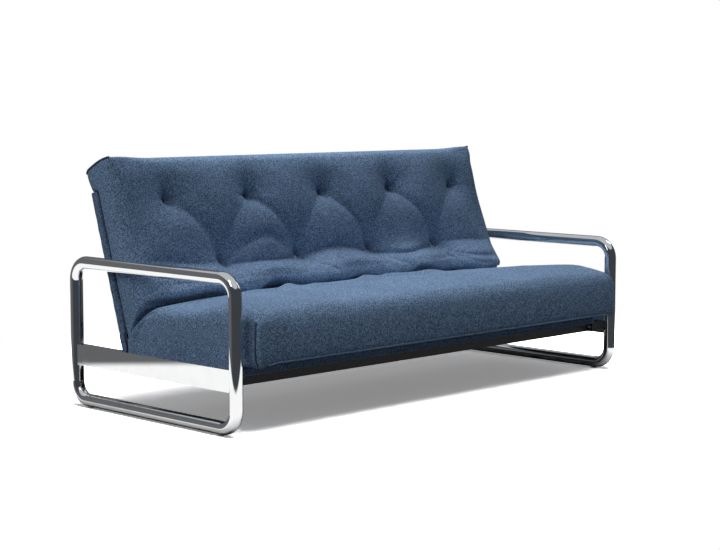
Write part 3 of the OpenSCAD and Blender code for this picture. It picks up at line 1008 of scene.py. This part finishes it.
@dataclass
class Mattress:
    """The tufted mattress: one stuffed piece over both decks, folded at the hinge.

    Its surface is a box's grid of points. The rows from the front end to the crease are the seat half, and
    the others are the back half.
    """

    frame: Frame
    # the grid's squares
    steps_across: int = 200
    steps_seat: int = 76
    steps_back: int = 79
    steps_up: int = 16
    # the plain shape
    floor_gap: float = 0.0006
    seat_past_front: float = 0.006
    seat_depth: float = 0.19
    back_depth: float = 0.15
    back_length: float = 0.716
    crease: float = math.radians(61.0)
    crease_height: float = 0.19
    # what hangs, opens or rolls over
    mouth_depth: float = 0.078
    end_mouth: float = 0.044
    end_hang: float = 0.038
    back_droop: float = 0.034
    front_rise: float = 0.015
    roll_forward: float = 0.036
    # how the cover settles
    pressure: float = 2.6
    frames: int = 16
    most_move: float = 0.022
    blend_reach: float = 0.16

    def seat_height(self, x: Points, s: Points) -> Points:
        """Give the seat half's height over the deck's middle plane, before folds.

        Args:
            x: Places across.
            s: Places along the deck.

        Returns:
            The heights.
        """
        side = SEAT_TOP.at(s)
        side = side + (SEAT_REAR.at(x) - side) * smooth(s, 0.235, 0.10)
        crown = 0.012 * np.sin(math.pi * np.clip((s - 0.34) / 0.38, 0.0, 1.0))
        return side + (1.0 - np.abs(x) ** 6) * crown

    def back_height(self, x: Points, s: Points) -> Points:
        """Give the back half's height over the deck's middle plane, before tufts and folds.

        Args:
            x: Places across.
            s: Places along the deck.

        Returns:
            The heights.
        """
        side = BACK_ENDS.at(s)
        return side + (1.0 - np.abs(x) ** 6) * (BACK_MIDDLE.at(s) - side)

    def surface(self) -> tuple[Points, Points, Points]:
        """Shape the whole mattress, before its tufts and folds.

        Returns:
            Points in the row frame, faces, and the points' grid places.
        """
        places, faces = box_grid((self.steps_across, self.steps_seat + self.steps_back, self.steps_up))
        i, j, k = places.T.astype(float)
        x = (2.0 * i / self.steps_across - 1.0) * self.frame.half_w
        w = k / self.steps_up
        seat = j <= self.steps_seat
        out = np.zeros((len(i), 3))
        for half, chosen in ((Half.SEAT, seat), (Half.BACK, ~seat)):
            out[chosen] = self.shape_half(half, x[chosen], self.run(half, j[chosen]), w[chosen])
        return out, faces, places

    def run(self, half: Half, j: Points) -> Points:
        """Give the distance from the crease, 0 at it and 1 at the half's end, for a grid row.

        Args:
            half: Which half.
            j: The rows' numbers.

        Returns:
            The distances, which on the back are closer together near the crease.
        """
        if half is Half.SEAT:
            return 1.0 - j / self.steps_seat
        spared = 3.0
        row = j - self.steps_seat
        return (row - spared * (1.0 - np.exp(-row / 4.0))) / (self.steps_back - spared)

    def shape_half(self, half: Half, x: Points, u: Points, w: Points) -> Points:
        """Place one half's points.

        Args:
            half: Which half.
            x: Places across.
            u: Share of the way from the crease to the end.
            w: Share of the thickness.

        Returns:
            Points in the row frame.
        """
        frame, seat = self.frame, half is Half.SEAT
        floor, half_w = frame.deck_t / 2 + self.floor_gap, frame.half_w
        if seat:
            plane, length = frame.seat, frame.mattress_front + self.seat_past_front
            height, depth = self.seat_height, self.seat_depth
        else:
            plane, length, height, depth = frame.back, self.back_length, self.back_height, self.back_depth
        slope = math.tan(self.crease if seat else math.pi - frame.back.lean - self.crease)
        box_x, box_w = x, w
        p = np.stack([x, u * length, floor + w * depth], axis=1)
        # the half isn't rounded at the crease, so its box goes on past it
        open_end = -9.0
        low, high = np.array([-half_w, open_end, floor]), np.array([half_w, length, floor + depth])
        x, s, t = rounded(p, low, high, self.rounding(half, x, u, w)).T
        w = (t - floor) / depth
        valley = self.valley(half, x, s)
        ends = np.clip(1.0 - s / length, 0.0, 1.0)
        # the height depends on the place along, and that on the height, so both are found together
        first_height, rounds = 0.18, 5
        along = s + ends * first_height / slope
        for _ in range(rounds):
            t = floor + w * (height(x, along) - floor - self.mouth_depth * valley)
            along = s + ends * t / slope
        if not seat:
            along, t = self.droop(x, along, t, w, length / self.steps_back)
        x = self.bulge(half, x, along, w)
        if seat:
            x, t = self.hang(x, along, t, box_x, box_w)
        return plane.put(x, along, t)

    @staticmethod
    def rounding(half: Half, x: Points, u: Points, w: Points) -> Points:
        """Give the radius that the box's edges are rounded to.

        Args:
            half: Which half.
            x: Places across.
            u: Share of the way from the crease to the end.
            w: Share of the thickness.

        Returns:
            A radius for each point: larger on top, and tight at the seat's front corners and the ears.
        """
        top = smooth(w, 0.1, 0.8)
        if half is Half.SEAT:
            corner = smooth(np.abs(x), 0.88, 0.97) * smooth(u, 0.88, 0.96)
            radius = 0.020 + (0.022 + 0.020 * smooth(np.abs(x), 0.97, 0.80)) * top
            return radius - 0.020 * corner * (1.0 - smooth(w, 0.80, 1.0)) * top
        ear = smooth(np.abs(x), 0.80, 0.96) * smooth(u, 0.86, 0.96)
        return (0.010 + 0.034 * top) * (1.0 - 0.78 * ear)

    def valley(self, half: Half, x: Points, s: Points) -> Points:
        """Give how deep each point lies in the open, rounded line between the halves.

        Args:
            half: Which half.
            x: Places across.
            s: Distances from the crease.

        Returns:
            Shares of the mouth's depth.
        """
        mouth = (0.024 + self.end_mouth * smooth(np.abs(x), 0.78, 0.99)) if half is Half.SEAT else 0.017
        return 1.0 - np.sqrt(np.clip(1.0 - (1.0 - np.minimum(s / mouth, 1.0)) ** 2, 0.0, 1.0))

    def droop(self, x: Points, along: Points, t: Points, w: Points, row: float) -> tuple[Points, Points]:
        """Hang the back's upper end over the deck's edge, with an ear at each corner.

        Args:
            x: Places across.
            along: Places along the deck.
            t: Heights over the deck.
            w: Share of the thickness.
            row: The distance between two grid rows.

        Returns:
            New places along the deck and heights.
        """
        end = self.frame.back_end
        # the rows nearest the deck's edge stand just clear of it
        at_end = (np.abs(along - end) < row) & (w < 0.2)
        past = (along > end).astype(float)
        along = np.where(at_end, end + 0.0006 + 0.0004 * past, along)
        t = t - self.back_droop * past * (1.0 - smooth(w, 0.0, 0.9))
        ears = smooth(np.abs(x), 0.84, 1.0) * smooth(along, 0.60, 0.70)
        along = along + ears * (0.002 - 0.018 * (1.0 - smooth(w, 0.0, 0.8)))
        return along, t - 0.014 * ears * (1.0 - smooth(w, 0.0, 0.5))

    def bulge(self, half: Half, x: Points, along: Points, w: Points) -> Points:
        """Bulge the end faces a little between their seams.

        Args:
            half: Which half.
            x: Places across.
            along: Places along the deck.
            w: Share of the thickness.

        Returns:
            New places across.
        """
        half_w = self.frame.half_w
        round_out = 0.012 - 0.008 * smooth(along, 0.60, 0.70) * (half is Half.SEAT)
        out = round_out * np.sin(math.pi * np.clip(w, 0.0, 1.0)) - 0.010 * (1.0 - smooth(w, 0.0, 0.25))
        return x * (1.0 + out / half_w * smooth(np.abs(x), half_w - 0.05, half_w))

    def hang(self, x: Points, along: Points, t: Points, box_x: Points,
             box_w: Points) -> tuple[Points, Points]:
        """Draw the seat's lower front edge up, and hang its ends down past the deck's sides.

        Args:
            x: Places across.
            along: Places along the deck.
            t: Heights over the deck.
            box_x: Places across before the edges were rounded.
            box_w: Shares of the thickness before that.

        Returns:
            New places across and heights.
        """
        half_w = self.frame.half_w
        outermost = np.abs(box_x) / half_w
        in_front = smooth(along, 0.62, 0.69) * smooth(np.abs(x), 1.0, 0.93)
        t = t + self.front_rise * in_front * smooth(box_w, 0.30, 0.0)
        hanging = smooth(along, 0.66, 0.52)
        last_row, row_before = 0.9999, 0.985
        end = hanging * (outermost > last_row) * (1.0 - smooth(box_w, 0.0, 0.30))
        next_in = hanging * (outermost > row_before) * (outermost < last_row) * (box_w < 0.5)
        t = t - self.end_hang * end - 0.004 * next_in
        reach = np.abs(x) + (half_w + 0.005 - np.abs(x)) * end + (half_w + 0.0015 - np.abs(x)) * next_in
        return np.sign(x) * reach, t

    def deck_place(self, half: Half, points: Points) -> tuple[Points, Points]:
        """Turn points into places along and above a half's deck.

        Args:
            half: Which half.
            points: Points in the row frame.

        Returns:
            Places along the deck and heights over it.
        """
        plane = self.frame.plane(half)
        y, z = plane.turn * (points[:, 1] - plane.hinge_y), points[:, 2] - plane.hinge_z
        cos, sin = math.cos(plane.lean), math.sin(plane.lean)
        return y * cos + z * sin, z * cos - y * sin

    def press(self, points: Points, work: Work) -> Points:
        """Press the tufts or the folds into the mattress.

        Args:
            points: The mattress's points.
            work: Which of them.

        Returns:
            The moved points.
        """
        points = points.copy()
        side = self.side_of(points)
        for half, chosen in ((Half.SEAT, side < 0.0), (Half.BACK, side >= 0.0)):
            x = points[chosen, 0]
            s, t = self.deck_place(half, points[chosen])
            lift = self.lift(half, work, x, s) * smooth(t, 0.105, 0.140) * smooth(np.abs(x), 0.995, 0.95)
            points[chosen] = self.frame.plane(half).put(x, s, t + lift)
        if work is Work.FOLDS:
            points[:, 1] -= self.wander(points)
            s, t = self.deck_place(Half.SEAT, points)
            drawn = sum(fold.lift(s, t) for fold in END_FOLDS)
            points[:, 0] += np.sign(points[:, 0]) * drawn * smooth(np.abs(points[:, 0]), 0.975, 0.998)
        return points

    @staticmethod
    def lift(half: Half, work: Work, x: Points, s: Points) -> Points:
        """Give how far the tufts, or the folds with the tufts' cores and a slight ripple, lift each point.

        Args:
            half: Which half. The seat has no tufts.
            work: Tufts or folds.
            x: Places across.
            s: Places along the deck.

        Returns:
            The lifts.
        """
        tufts = TUFTS if half is Half.BACK else ()
        if work is Work.TUFTS:
            return sum((tuft.lift(x, s) for tuft in tufts), np.zeros(len(x)))
        lift = 0.0012 * np.sin(9.0 * x + 21.0 * s) + 0.0010 * np.sin(23.0 * x - 13.0 * s + 1.0)
        for fold in SEAT_FOLDS if half is Half.SEAT else BACK_FOLDS:
            lift += fold.lift(x, s)
        for tuft in tufts:
            lift += tuft.core(x, s)
        return lift

    def wander(self, points: Points) -> Points:
        """Give how far the line between the halves and the roll over it stray forward.

        Args:
            points: The mattress's points.

        Returns:
            The way forward at each point.
        """
        side, x, z = self.side_of(points), points[:, 0], points[:, 2]
        roll = self.roll_forward + 0.70 * np.clip(0.476 - z, 0.0, 0.050)
        roll = roll * smooth(side, 0.001, 0.005) * smooth(side, 0.090, 0.030) * smooth(z, 0.395, 0.425)
        roll = roll * smooth(np.abs(x), 1.0, 0.90)
        near = np.exp(-((side / 0.060) ** 2))
        return roll + CREASE_STRAY.at(x) * near * smooth(z, 0.30, 0.36)

    def held(self, points: Points) -> Points:
        """Give how firmly each point is held while the cloth settles.

        Args:
            points: The mattress's points.

        Returns:
            Shares, where 1 doesn't move.
        """
        side = self.side_of(points)
        on_back = side >= 0.0
        seat_s, seat_t = self.deck_place(Half.SEAT, points)
        back_s, back_t = self.deck_place(Half.BACK, points)
        s, t = np.where(on_back, back_s, seat_s), np.where(on_back, back_t, seat_t)
        holds = [
            smooth(np.abs(points[:, 0]), 0.93, 0.985),
            smooth(t, 0.145, 0.115),
            smooth(np.abs(side), 0.030, 0.010),
            smooth(s, 0.66, 0.70),
        ]
        for tuft in TUFTS:
            r = np.hypot(points[:, 0] - tuft.across, back_s - tuft.along)
            holds.append(on_back * smooth(r, 0.016, 0.008))
        return np.max(holds, axis=0)

    def side_of(self, points: Points) -> Points:
        """Give the distance from the fold plane, positive on the back's side."""
        middle, normal = self.fold_plane()
        return (points - middle) @ normal

    def fold_plane(self) -> tuple[Points, Points]:
        """Give the plane between the halves.

        Returns:
            The crease's middle, on the surface, and the plane's normal, towards the back.
        """
        seat, t = self.frame.seat, self.crease_height
        middle = np.array([0.0, seat.hinge_y - t / math.tan(self.crease), seat.hinge_z + t])
        return middle, np.array([0.0, math.sin(self.crease), math.cos(self.crease)])

    def settle(self, mesh: bpy.types.Mesh, slack: Points) -> None:
        """Let the stuffing push the cover out between its tufts, as a cloth under pressure.

        Args:
            mesh: The mesh, which gets the settled points.
            slack: The points of the cover before it is drawn in.
        """
        scene = bpy.context.scene
        start = mesh_points(mesh)
        obj = bpy.data.objects.new("settling", mesh.copy())
        scene.collection.objects.link(obj)
        obj.shape_key_add(name="drawn")
        rest = obj.shape_key_add(name="slack")
        rest.data.foreach_set("co", slack.ravel())
        group = obj.vertex_groups.new(name="held")
        grades = 10
        share = np.round(self.held(start) * grades)
        for grade in range(grades + 1):
            group.add(np.nonzero(share == grade)[0].tolist(), grade / grades, "REPLACE")
        self.add_cloth(obj, rest, group)
        for frame in range(1, self.frames + 1):
            scene.frame_set(frame)
        settled = obj.evaluated_get(bpy.context.evaluated_depsgraph_get())
        move = mesh_points(settled.data) - start
        length = np.linalg.norm(move, axis=1, keepdims=True)
        LOG.info("cover settled: moved %.1f mm at most", 1000 * length.max())
        move = move * np.minimum(1.0, self.most_move / np.maximum(length, 1e-9))
        mesh.vertices.foreach_set("co", (start + move).ravel())
        mesh.update()
        scene.frame_set(1)
        spare = obj.data
        bpy.data.objects.remove(obj)
        bpy.data.meshes.remove(spare)

    def add_cloth(self, obj: bpy.types.Object, rest: bpy.types.ShapeKey,
                  group: bpy.types.VertexGroup) -> None:
        """Make an object a cloth under pressure.

        Args:
            obj: The object.
            rest: The shape that its cloth has at rest.
            group: How firmly its points are held.
        """
        cloth = obj.modifiers.new("cover", "CLOTH")
        settings = cloth.settings
        settings.rest_shape_key = rest
        settings.vertex_group_mass = group.name
        settings.quality = 5
        settings.mass = 0.3
        settings.tension_stiffness = 12.0
        settings.compression_stiffness = 6.0
        settings.shear_stiffness = 4.0
        settings.bending_stiffness = 5.0
        settings.use_pressure = True
        settings.uniform_pressure_force = self.pressure
        settings.effector_weights.gravity = 0.0
        cloth.collision_settings.use_collision = False
        cloth.point_cache.frame_start, cloth.point_cache.frame_end = 1, self.frames

    def build(self) -> bpy.types.Object:
        """Make the mattress.

        Returns:
            The finished object.
        """
        slack, faces, places = self.surface()
        obj = mesh_object("futon_mattress", self.press(slack, Work.TUFTS), faces)
        self.settle(obj.data, slack)
        finer = obj.modifiers.new("finer", "SUBSURF")
        finer.levels = finer.render_levels = 1
        apply_modifier(obj, finer)
        points = self.press(mesh_points(obj.data), Work.FOLDS)
        obj.data.vertices.foreach_set("co", points.ravel())
        obj.data.update()
        MATTRESS_CLOTH.dress(obj)
        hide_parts("seat_mattress", "back_mattress")
        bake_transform(obj)
        LOG.info("mattress: %d points", len(points))
        self.sew(places, points[:len(places)])
        self.tie(obj)
        return obj

    def sew(self, places: Points, points: Points) -> None:
        """Sew the seat's corner seams and the tape across the back's ends, whose dark cloth is painted
        shade, and the cord along the front, whose lighter cloth is a painted highlight.

        Args:
            places: The grid places of the mattress's first points.
            points: Where those points are now.
        """
        i, j, k = places.T
        last_row = self.steps_seat + self.steps_back
        for side, end in (("left", 0), ("right", self.steps_across)):
            # corner seams and end tapes wear the near-black cord cloth: painted shade along those edges
            for name, row, low, high, radius, body in (
                    ("corner_seam", 2, 1, self.steps_up - 2, 0.0036, "seat"),
                    ("end_tape", last_row, 0, self.steps_up, 0.0055, "back")):
                chosen = np.nonzero((i == end) & (j == row) & (k >= low) & (k <= high))[0]
                path = spline(points[chosen[np.argsort(k[chosen])]], 3)
                self.lay_seam(f"{side}_{name}", path, radius, PAINTED_SHADE_CORD, body)
        # the front cord wears the lighter cloth, a painted highlight along the mattress's lower front edge
        inset, stride = 4, 4
        chosen = (j == 0) & (k == 1) & (i >= inset) & (i <= self.steps_across - inset) & (i % stride == 0)
        chosen = np.nonzero(chosen)[0]
        path = spline(points[chosen[np.argsort(i[chosen])]], 3) + np.array([0.0, -0.0030, -0.0050])
        self.lay_seam("front_edge_cord", path, 0.0036, PAINTED_HIGHLIGHT_CORD, "seat")
        LOG.info("mattress: seams sewn")

    @staticmethod
    def lay_seam(name: str, path: Points, radius: float, finish: Finish, body: str, sides: int = 8) -> None:
        """Lay one seam, cord or thread.

        Args:
            name: Its name.
            path: Its path.
            radius: Its radius.
            finish: Its finish.
            body: The body that it rides on.
            sides: Sides of its section.
        """
        seam = cord_along(name, path, radius, sides)
        finish.dress(seam)
        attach(seam, body)

    def tie(self, obj: bpy.types.Object) -> None:
        """Tie a near-black thread knot at the bottom of every tuft, partly painted shade of the pit.

        Args:
            obj: The finished mattress.
        """
        bpy.context.view_layer.update()
        plane = self.frame.back
        down = Vector(plane.put(0.0, 0.0, -1.0) - plane.put(0.0, 0.0, 0.0))
        turn = np.linspace(0.0, 5.0 * math.pi, 40)
        reach = 0.0052 + 0.0012 * np.sin(1.7 * turn)
        rise = 0.0008 * turn / math.pi
        for n, tuft in enumerate(TUFTS, 1):
            found, at, _, _ = obj.ray_cast(Vector(plane.put(tuft.across, tuft.along, 0.30)), down)
            if not found:
                raise ValueError(f"tuft {n} isn't over the mattress")
            coil = plane.put(tuft.across + reach * np.cos(turn), tuft.along + reach * np.sin(turn), rise)
            path = coil + np.array(at) - plane.put(tuft.across, tuft.along, -0.0005)
            # the knot's near-black thread is partly painted shade at the bottom of the pit
            self.lay_seam(f"tuft_knot_{n}", path, 0.0019, PIT_SHADE_THREAD, "back", 6)
        LOG.info("mattress: %d knots tied", len(TUFTS))


# ---------------------------------------------------------------- deck covers


@dataclass
class DeckCover:
    """One deck's fitted cloth cover: pulled over the tubes and hemmed under them."""

    frame: Frame
    half: Half
    hem: float = 0.044
    round_long: float = 0.014
    round_end: float = 0.009
    bay: float = 0.016
    notch: float = 0.070
    flap_out: float = 0.0022
    wall: float = 0.0012
    pitch: float = 0.014
    end_rows: Sequence[float] = (0.0, 0.0015, 0.004, 0.008, 0.012, 0.016, 0.022, 0.032, 0.044)
    side_rows: Sequence[float] = (0.0, 0.0015, 0.005, 0.0075, 0.010, 0.0125, 0.017, 0.022, 0.028)

    def stations(self, length: float, more: Sequence[float] = ()) -> Points:
        """Give the places of the cover's grid lines along a side.

        Args:
            length: The side's length.
            more: Further places that need a line.

        Returns:
            The places from 0 to the length, close together near both ends.
        """
        edge = np.array(self.end_rows)
        count = round((length - 2 * self.hem) / self.pitch)
        inner = np.linspace(self.hem, length - self.hem, count + 1)[1:-1]
        return np.unique(np.concatenate([edge, inner, length - edge, np.array(more, float)]).round(5))

    def build(self) -> bpy.types.Object:
        """Make the cover.

        Returns:
            The finished object.
        """
        frame, name = self.frame, self.half.value
        plane = frame.plane(self.half)
        end = frame.seat_end if self.half is Half.SEAT else frame.back_end
        start, deep = frame.fold_gap, end - frame.fold_gap
        across = self.stations(2.0 * frame.half_w) - frame.half_w
        along = self.stations(deep, (self.notch - start,)) + start
        up = np.array([*self.side_rows, frame.deck_t - 0.0015, frame.deck_t]) - frame.deck_t / 2
        places, quads = box_grid([len(lines) - 1 for lines in (across, along, up)])
        p = np.stack([across[places[:, 0]], along[places[:, 1]], up[places[:, 2]]], axis=1)
        low = np.array([-frame.half_w, start, -frame.deck_t / 2])
        high = np.array([frame.half_w, end, frame.deck_t / 2])
        at_end = smooth(np.abs(p[:, 0]), 0.95, 0.985)
        radius = self.round_long + (self.round_end - self.round_long) * at_end
        x, s, t = self.gather(*rounded(p, low, high, radius).T, high)
        flap = (s < self.notch + 0.002) & (np.abs(p[:, 0]) > frame.half_w - 1e-6)
        x = np.where(flap, np.sign(x) * (frame.half_w + self.flap_out), x)
        kept = quads[self.covered(p[quads].mean(axis=1), start, end)]
        used, renumbered = np.unique(kept, return_inverse=True)
        obj = mesh_object(f"{name}_cover_sheet", plane.put(x, s, t)[used], renumbered.reshape(kept.shape))
        thick = obj.modifiers.new("cloth", "SOLIDIFY")
        thick.thickness = self.wall
        thick.offset = -1.0
        apply_modifier(obj, thick)
        DECK_CLOTH.dress(obj)
        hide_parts(f"{name}_deck_cover")
        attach(obj, name)
        wrap = frame.deck_t + self.hem
        deep + 2.0 * wrap
        LOG.info("%s cover: %d faces", name, len(obj.data.polygons))
        return obj

    def covered(self, centre: Points, start: float, end: float) -> Points:
        """Tell the cover's faces from the deck's open underside and its hinge bays.

        Args:
            centre: The middle of each of the box's faces.
            start: Where the deck starts, along it.
            end: Where it ends.

        Returns:
            Whether each face is part of the cover.
        """
        half_w = self.frame.half_w
        out, s = np.abs(centre[:, 0]), centre[:, 1]
        under = centre[:, 2] < -self.frame.deck_t / 2 + 1e-6
        inside = (out < half_w - self.hem) & (s > start + self.hem) & (s < end - self.hem)
        bay = (out > half_w - self.bay) & (s < self.notch)
        if self.half is Half.BACK:
            # the back's side goes on over the bay, as a flap outside the hinge plates
            bay &= out <= half_w - 1e-6
        return ~(under & inside) & ~bay

    @staticmethod
    def gather(x: Points, s: Points, t: Points, high: Points) -> tuple[Points, Points, Points]:
        """Add the hem's ridge and the small gathers round the cover's sides.

        Args:
            x: Places across.
            s: Places along the deck.
            t: Heights.
            high: The deck's high corner.

        Returns:
            The moved places.
        """
        round_side = smooth(np.abs(x), high[0] - 0.02, high[0] - 0.004)
        round_front = smooth(s, high[1] - 0.02, high[1] - 0.004)
        ridge = 0.0026 * np.exp(-(((t + 0.0105) / 0.0028) ** 2))
        stitched = 0.0008 * np.exp(-(((t + 0.0055) / 0.0020) ** 2))
        gathers = 0.0005 * (np.sin(170.0 * (x + s)) * np.sin(61.0 * (x - s)) + np.sin(83.0 * (x + s) + 1.0))
        puff = ridge - stitched + gathers * (1.0 - smooth(t, 0.008, 0.016))
        slack = 0.0008 * smooth(t, 0.010, 0.017) * (1.0 + np.sin(37.0 * x) * np.sin(29.0 * s))
        return x + np.sign(x) * puff * round_side, s + puff * round_front * (1.0 - round_side), t - slack


# ---------------------------------------------------------------- frame finishes


def dress_frame(frame: Frame) -> None:
    """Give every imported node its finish.

    Args:
        frame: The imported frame.
    """
    for name, obj in frame.nodes.items():
        finish_of(name).dress(obj)
    LOG.info("frame: %d nodes dressed", len(frame.nodes))


def finish_of(name: str) -> Finish:
    """Choose a node's finish from its name.

    Args:
        name: The node.

    Returns:
        Its finish.
    """
    rules: list[tuple[Callable[[str], bool], Finish]] = [
        (lambda n: n.endswith(("arm_loop", "side_rail")), CHROME),
        (lambda n: n.endswith(("cross_rail", "beam", "_tube", "_tubes", "cross_bars")), BLACK),
        (lambda n: n.endswith(("hinge", "pawl", "track", "bolts", "pins")), ZINC),
        (lambda n: n in ("slide_pads", "track_runners"), NYLON),
        (lambda n: n == "floor_glides", TAN),
        (lambda n: n == "rest_pads", RUBBER),
        (lambda n: n.endswith("slat_holders"), CAP),
        (lambda n: n.startswith("seat_slat"), SEAT_SLAT),
        (lambda n: n.startswith("back_slat"), BACK_SLAT),
        (lambda n: n.endswith("cover"), DECK_CLOTH),
        (lambda n: n.endswith("mattress"), MATTRESS_CLOTH),
    ]
    for fits, finish in rules:
        if fits(name):
            return finish
    raise ValueError(f"no finish for {name}")


# ---------------------------------------------------------------- studio


class Reach(Enum):
    """What a lamp lights."""

    OBJECT = "object"
    FLOOR = "floor"


@dataclass(frozen=True)
class Lamp:
    """An area lamp and where it hangs."""

    name: str
    at: Sequence[float]
    wide: float
    tall: float
    power: float
    reach: Reach = Reach.OBJECT
    mirrored: bool = False
    aim: Sequence[float] = (0.0, 0.0, 0.30)
    spread: float = math.pi


@dataclass
class Studio:
    """Floor, light and camera.

    The room is dim at eye level and lit from above. Metal also sees the pale floor near the object, white
    below the room's far edge, the ceiling and two strip lamps.
    """

    floor_half: float = 14.0
    footprint: Sequence[float] = (1.05, 0.45, 0.0)
    floor_edge: float = -0.1565
    floor_tilt: Sequence[float] = (-0.011, -0.011, 1.0)
    floor_tones: Sequence[float] = (0.95, 0.17, 0.018)
    least_glow: float = 0.24
    ceiling_edge: float = 0.61
    front_wall: Colour = (0.045, 0.049, 0.056)
    back_wall: Colour = (0.125, 0.128, 0.134)
    ceiling: Colour = (0.48, 0.50, 0.53)
    ceiling_light: float = 0.5
    camera_at: Sequence[float] = (-4.7599, -4.7402, 1.1511)
    heading: float = math.radians(45.014)
    pitch: float = math.radians(5.945)
    lens: float = 84.51
    lamps: tuple[Lamp, ...] = (
        Lamp("overhead", (0.0, 1.00, 3.15), 1.3, 1.3, 65.0),
        Lamp("front_strip", (0.0, -2.60, 0.80), 2.3, 0.16, 0.36, aim=(0.0, 0.0, 0.37),
             spread=math.radians(14.0)),
        Lamp("left_side", (-6.0, 1.2, 3.4), 2.4, 2.0, 86.0),
        Lamp("left_strip", (-2.55, -0.77, 2.30), 0.45, 1.30, 6.0, mirrored=True),
        Lamp("right_strip", (2.55, -0.77, 2.30), 0.45, 1.30, 6.0, mirrored=True),
        Lamp("floor_wash", (-0.55, -0.80, 3.40), 2.8, 2.4, 820.0, Reach.FLOOR, aim=(-0.2, -0.2, 0.0)),
    )

    def build(self) -> None:
        """Make the floor, the world, the lamps and the camera."""
        self.make_world()
        floor = self.make_floor()
        for lamp in self.lamps:
            self.hang(lamp, floor)
        self.make_camera()
        bpy.context.scene.view_settings.view_transform = "Standard"
        LOG.info("studio: floor, world, %d lamps and camera", len(self.lamps))

    def make_world(self) -> None:
        """Light the scene from above, and show white behind the object."""
        world = bpy.data.worlds.new("studio_world")
        bpy.context.scene.world = world
        world.use_nodes = True
        graph = Graph(world.node_tree)
        where = graph.node("ShaderNodeTexCoord", output="Generated")
        depth = graph.node("ShaderNodeSeparateXYZ", {}, {0: where}, "Y")
        height = graph.node("ShaderNodeSeparateXYZ", {}, {0: where}, "Z")
        tilted = graph.vectors("DOT_PRODUCT", where, self.floor_tilt, output="Value")
        shiny = graph.ray("Is Glossy Ray")
        wall = graph.blend(depth.ramp(0.0, 0.8), self.front_wall, self.back_wall)
        ceiling = graph.blend(shiny, tuple(self.ceiling_light * c for c in self.ceiling), self.ceiling)
        soft, crisp = 0.04, 0.002
        room = graph.blend(height.ramp(self.ceiling_edge - soft, self.ceiling_edge + soft), wall, ceiling)
        white = (1.0, 1.0, 1.0)
        below = (1.0 - tilted.ramp(self.floor_edge - crisp, self.floor_edge + crisp)) * shiny
        seen = graph.blend(graph.ray("Is Camera Ray"), graph.blend(below, room, white), white)
        light = graph.node("ShaderNodeBackground", {}, {"Color": seen, "Strength": 1.0})
        graph.node("ShaderNodeOutputWorld", {}, {"Surface": light})

    def make_floor(self) -> bpy.types.Object:
        """Lay a pale floor that shows white where nothing shades it.

        Returns:
            The floor.
        """
        bpy.ops.mesh.primitive_plane_add(size=2 * self.floor_half, location=(0.0, 0.0, 0.0))
        floor = bpy.context.object
        floor.name = "studio_floor"
        material = bpy.data.materials.new("studio_floor")
        material.use_nodes = True
        graph = Graph(material.node_tree)
        past = graph.vectors("SUBTRACT", graph.vectors("ABSOLUTE", graph.place()), self.footprint)
        far = graph.vectors("LENGTH", graph.vectors("MAXIMUM", past, (0.0, 0.0, 0.0)), output="Value")
        pale, grey, dim = (graph.node("ShaderNodeBsdfDiffuse", {}, {"Color": (c, c, c, 1.0)})
                           for c in self.floor_tones)
        white = graph.node("ShaderNodeEmission", {}, {"Color": (1.0, 1.0, 1.0, 1.0), "Strength": 1.0})
        clear = graph.node("ShaderNodeBsdfTransparent")
        bright = graph.node("ShaderNodeAddShader", {}, {0: pale, 1: pale})
        shown = graph.mix(far.ramp(0.8, 1.7) * (1.0 - self.least_glow) + self.least_glow, bright, white)
        mirrored = graph.mix(far.ramp(0.05, 0.20), grey, clear)
        other = graph.mix(graph.ray("Is Glossy Ray"), dim, mirrored)
        both = graph.mix(graph.ray("Is Camera Ray"), other, shown)
        graph.node("ShaderNodeOutputMaterial", {}, {"Surface": both})
        floor.data.materials.append(material)
        return floor

    @staticmethod
    def hang(lamp: Lamp, floor: bpy.types.Object) -> None:
        """Hang one lamp.

        Args:
            lamp: Its size, place and power.
            floor: The floor, which one lamp lights alone and the others leave out.
        """
        bpy.ops.object.light_add(type="AREA", location=lamp.at)
        made = bpy.context.object
        made.name = lamp.name
        made.data.shape = "RECTANGLE"
        made.data.size, made.data.size_y = lamp.wide, lamp.tall
        made.data.energy = lamp.power
        made.data.spread = lamp.spread
        made.visible_glossy = lamp.mirrored
        chosen = bpy.data.collections.new(lamp.name + "_reach")
        chosen.objects.link(floor)
        made.light_linking.receiver_collection = chosen
        state = "INCLUDE" if lamp.reach is Reach.FLOOR else "EXCLUDE"
        chosen.collection_objects[0].light_linking.link_state = state
        aim = Vector(lamp.aim) - Vector(lamp.at)
        made.rotation_euler = aim.to_track_quat("-Z", "Y").to_euler()

    def make_camera(self) -> None:
        """Set the camera to a three-quarter view from the front left."""
        bpy.ops.object.camera_add(location=self.camera_at)
        camera = bpy.context.object
        camera.name = "studio_camera"
        level = math.cos(self.pitch)
        across, ahead = math.sin(self.heading) * level, math.cos(self.heading) * level
        aim = Vector((across, ahead, -math.sin(self.pitch)))
        camera.rotation_euler = aim.to_track_quat("-Z", "Y").to_euler()
        camera.data.lens = self.lens
        camera.data.sensor_width = 36.0
        bpy.context.scene.camera = camera


def main() -> None:
    """Build everything in order."""
    logging.basicConfig(level=logging.INFO, format="%(name)s %(message)s")
    frame = Frame(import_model())
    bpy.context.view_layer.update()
    bpy.ops.object.select_all(action="DESELECT")
    Studio().build()
    dress_frame(frame)
    for half in Half:
        DeckCover(frame, half).build()
    Mattress(frame).build()


if __name__ == "__main__":
    main()
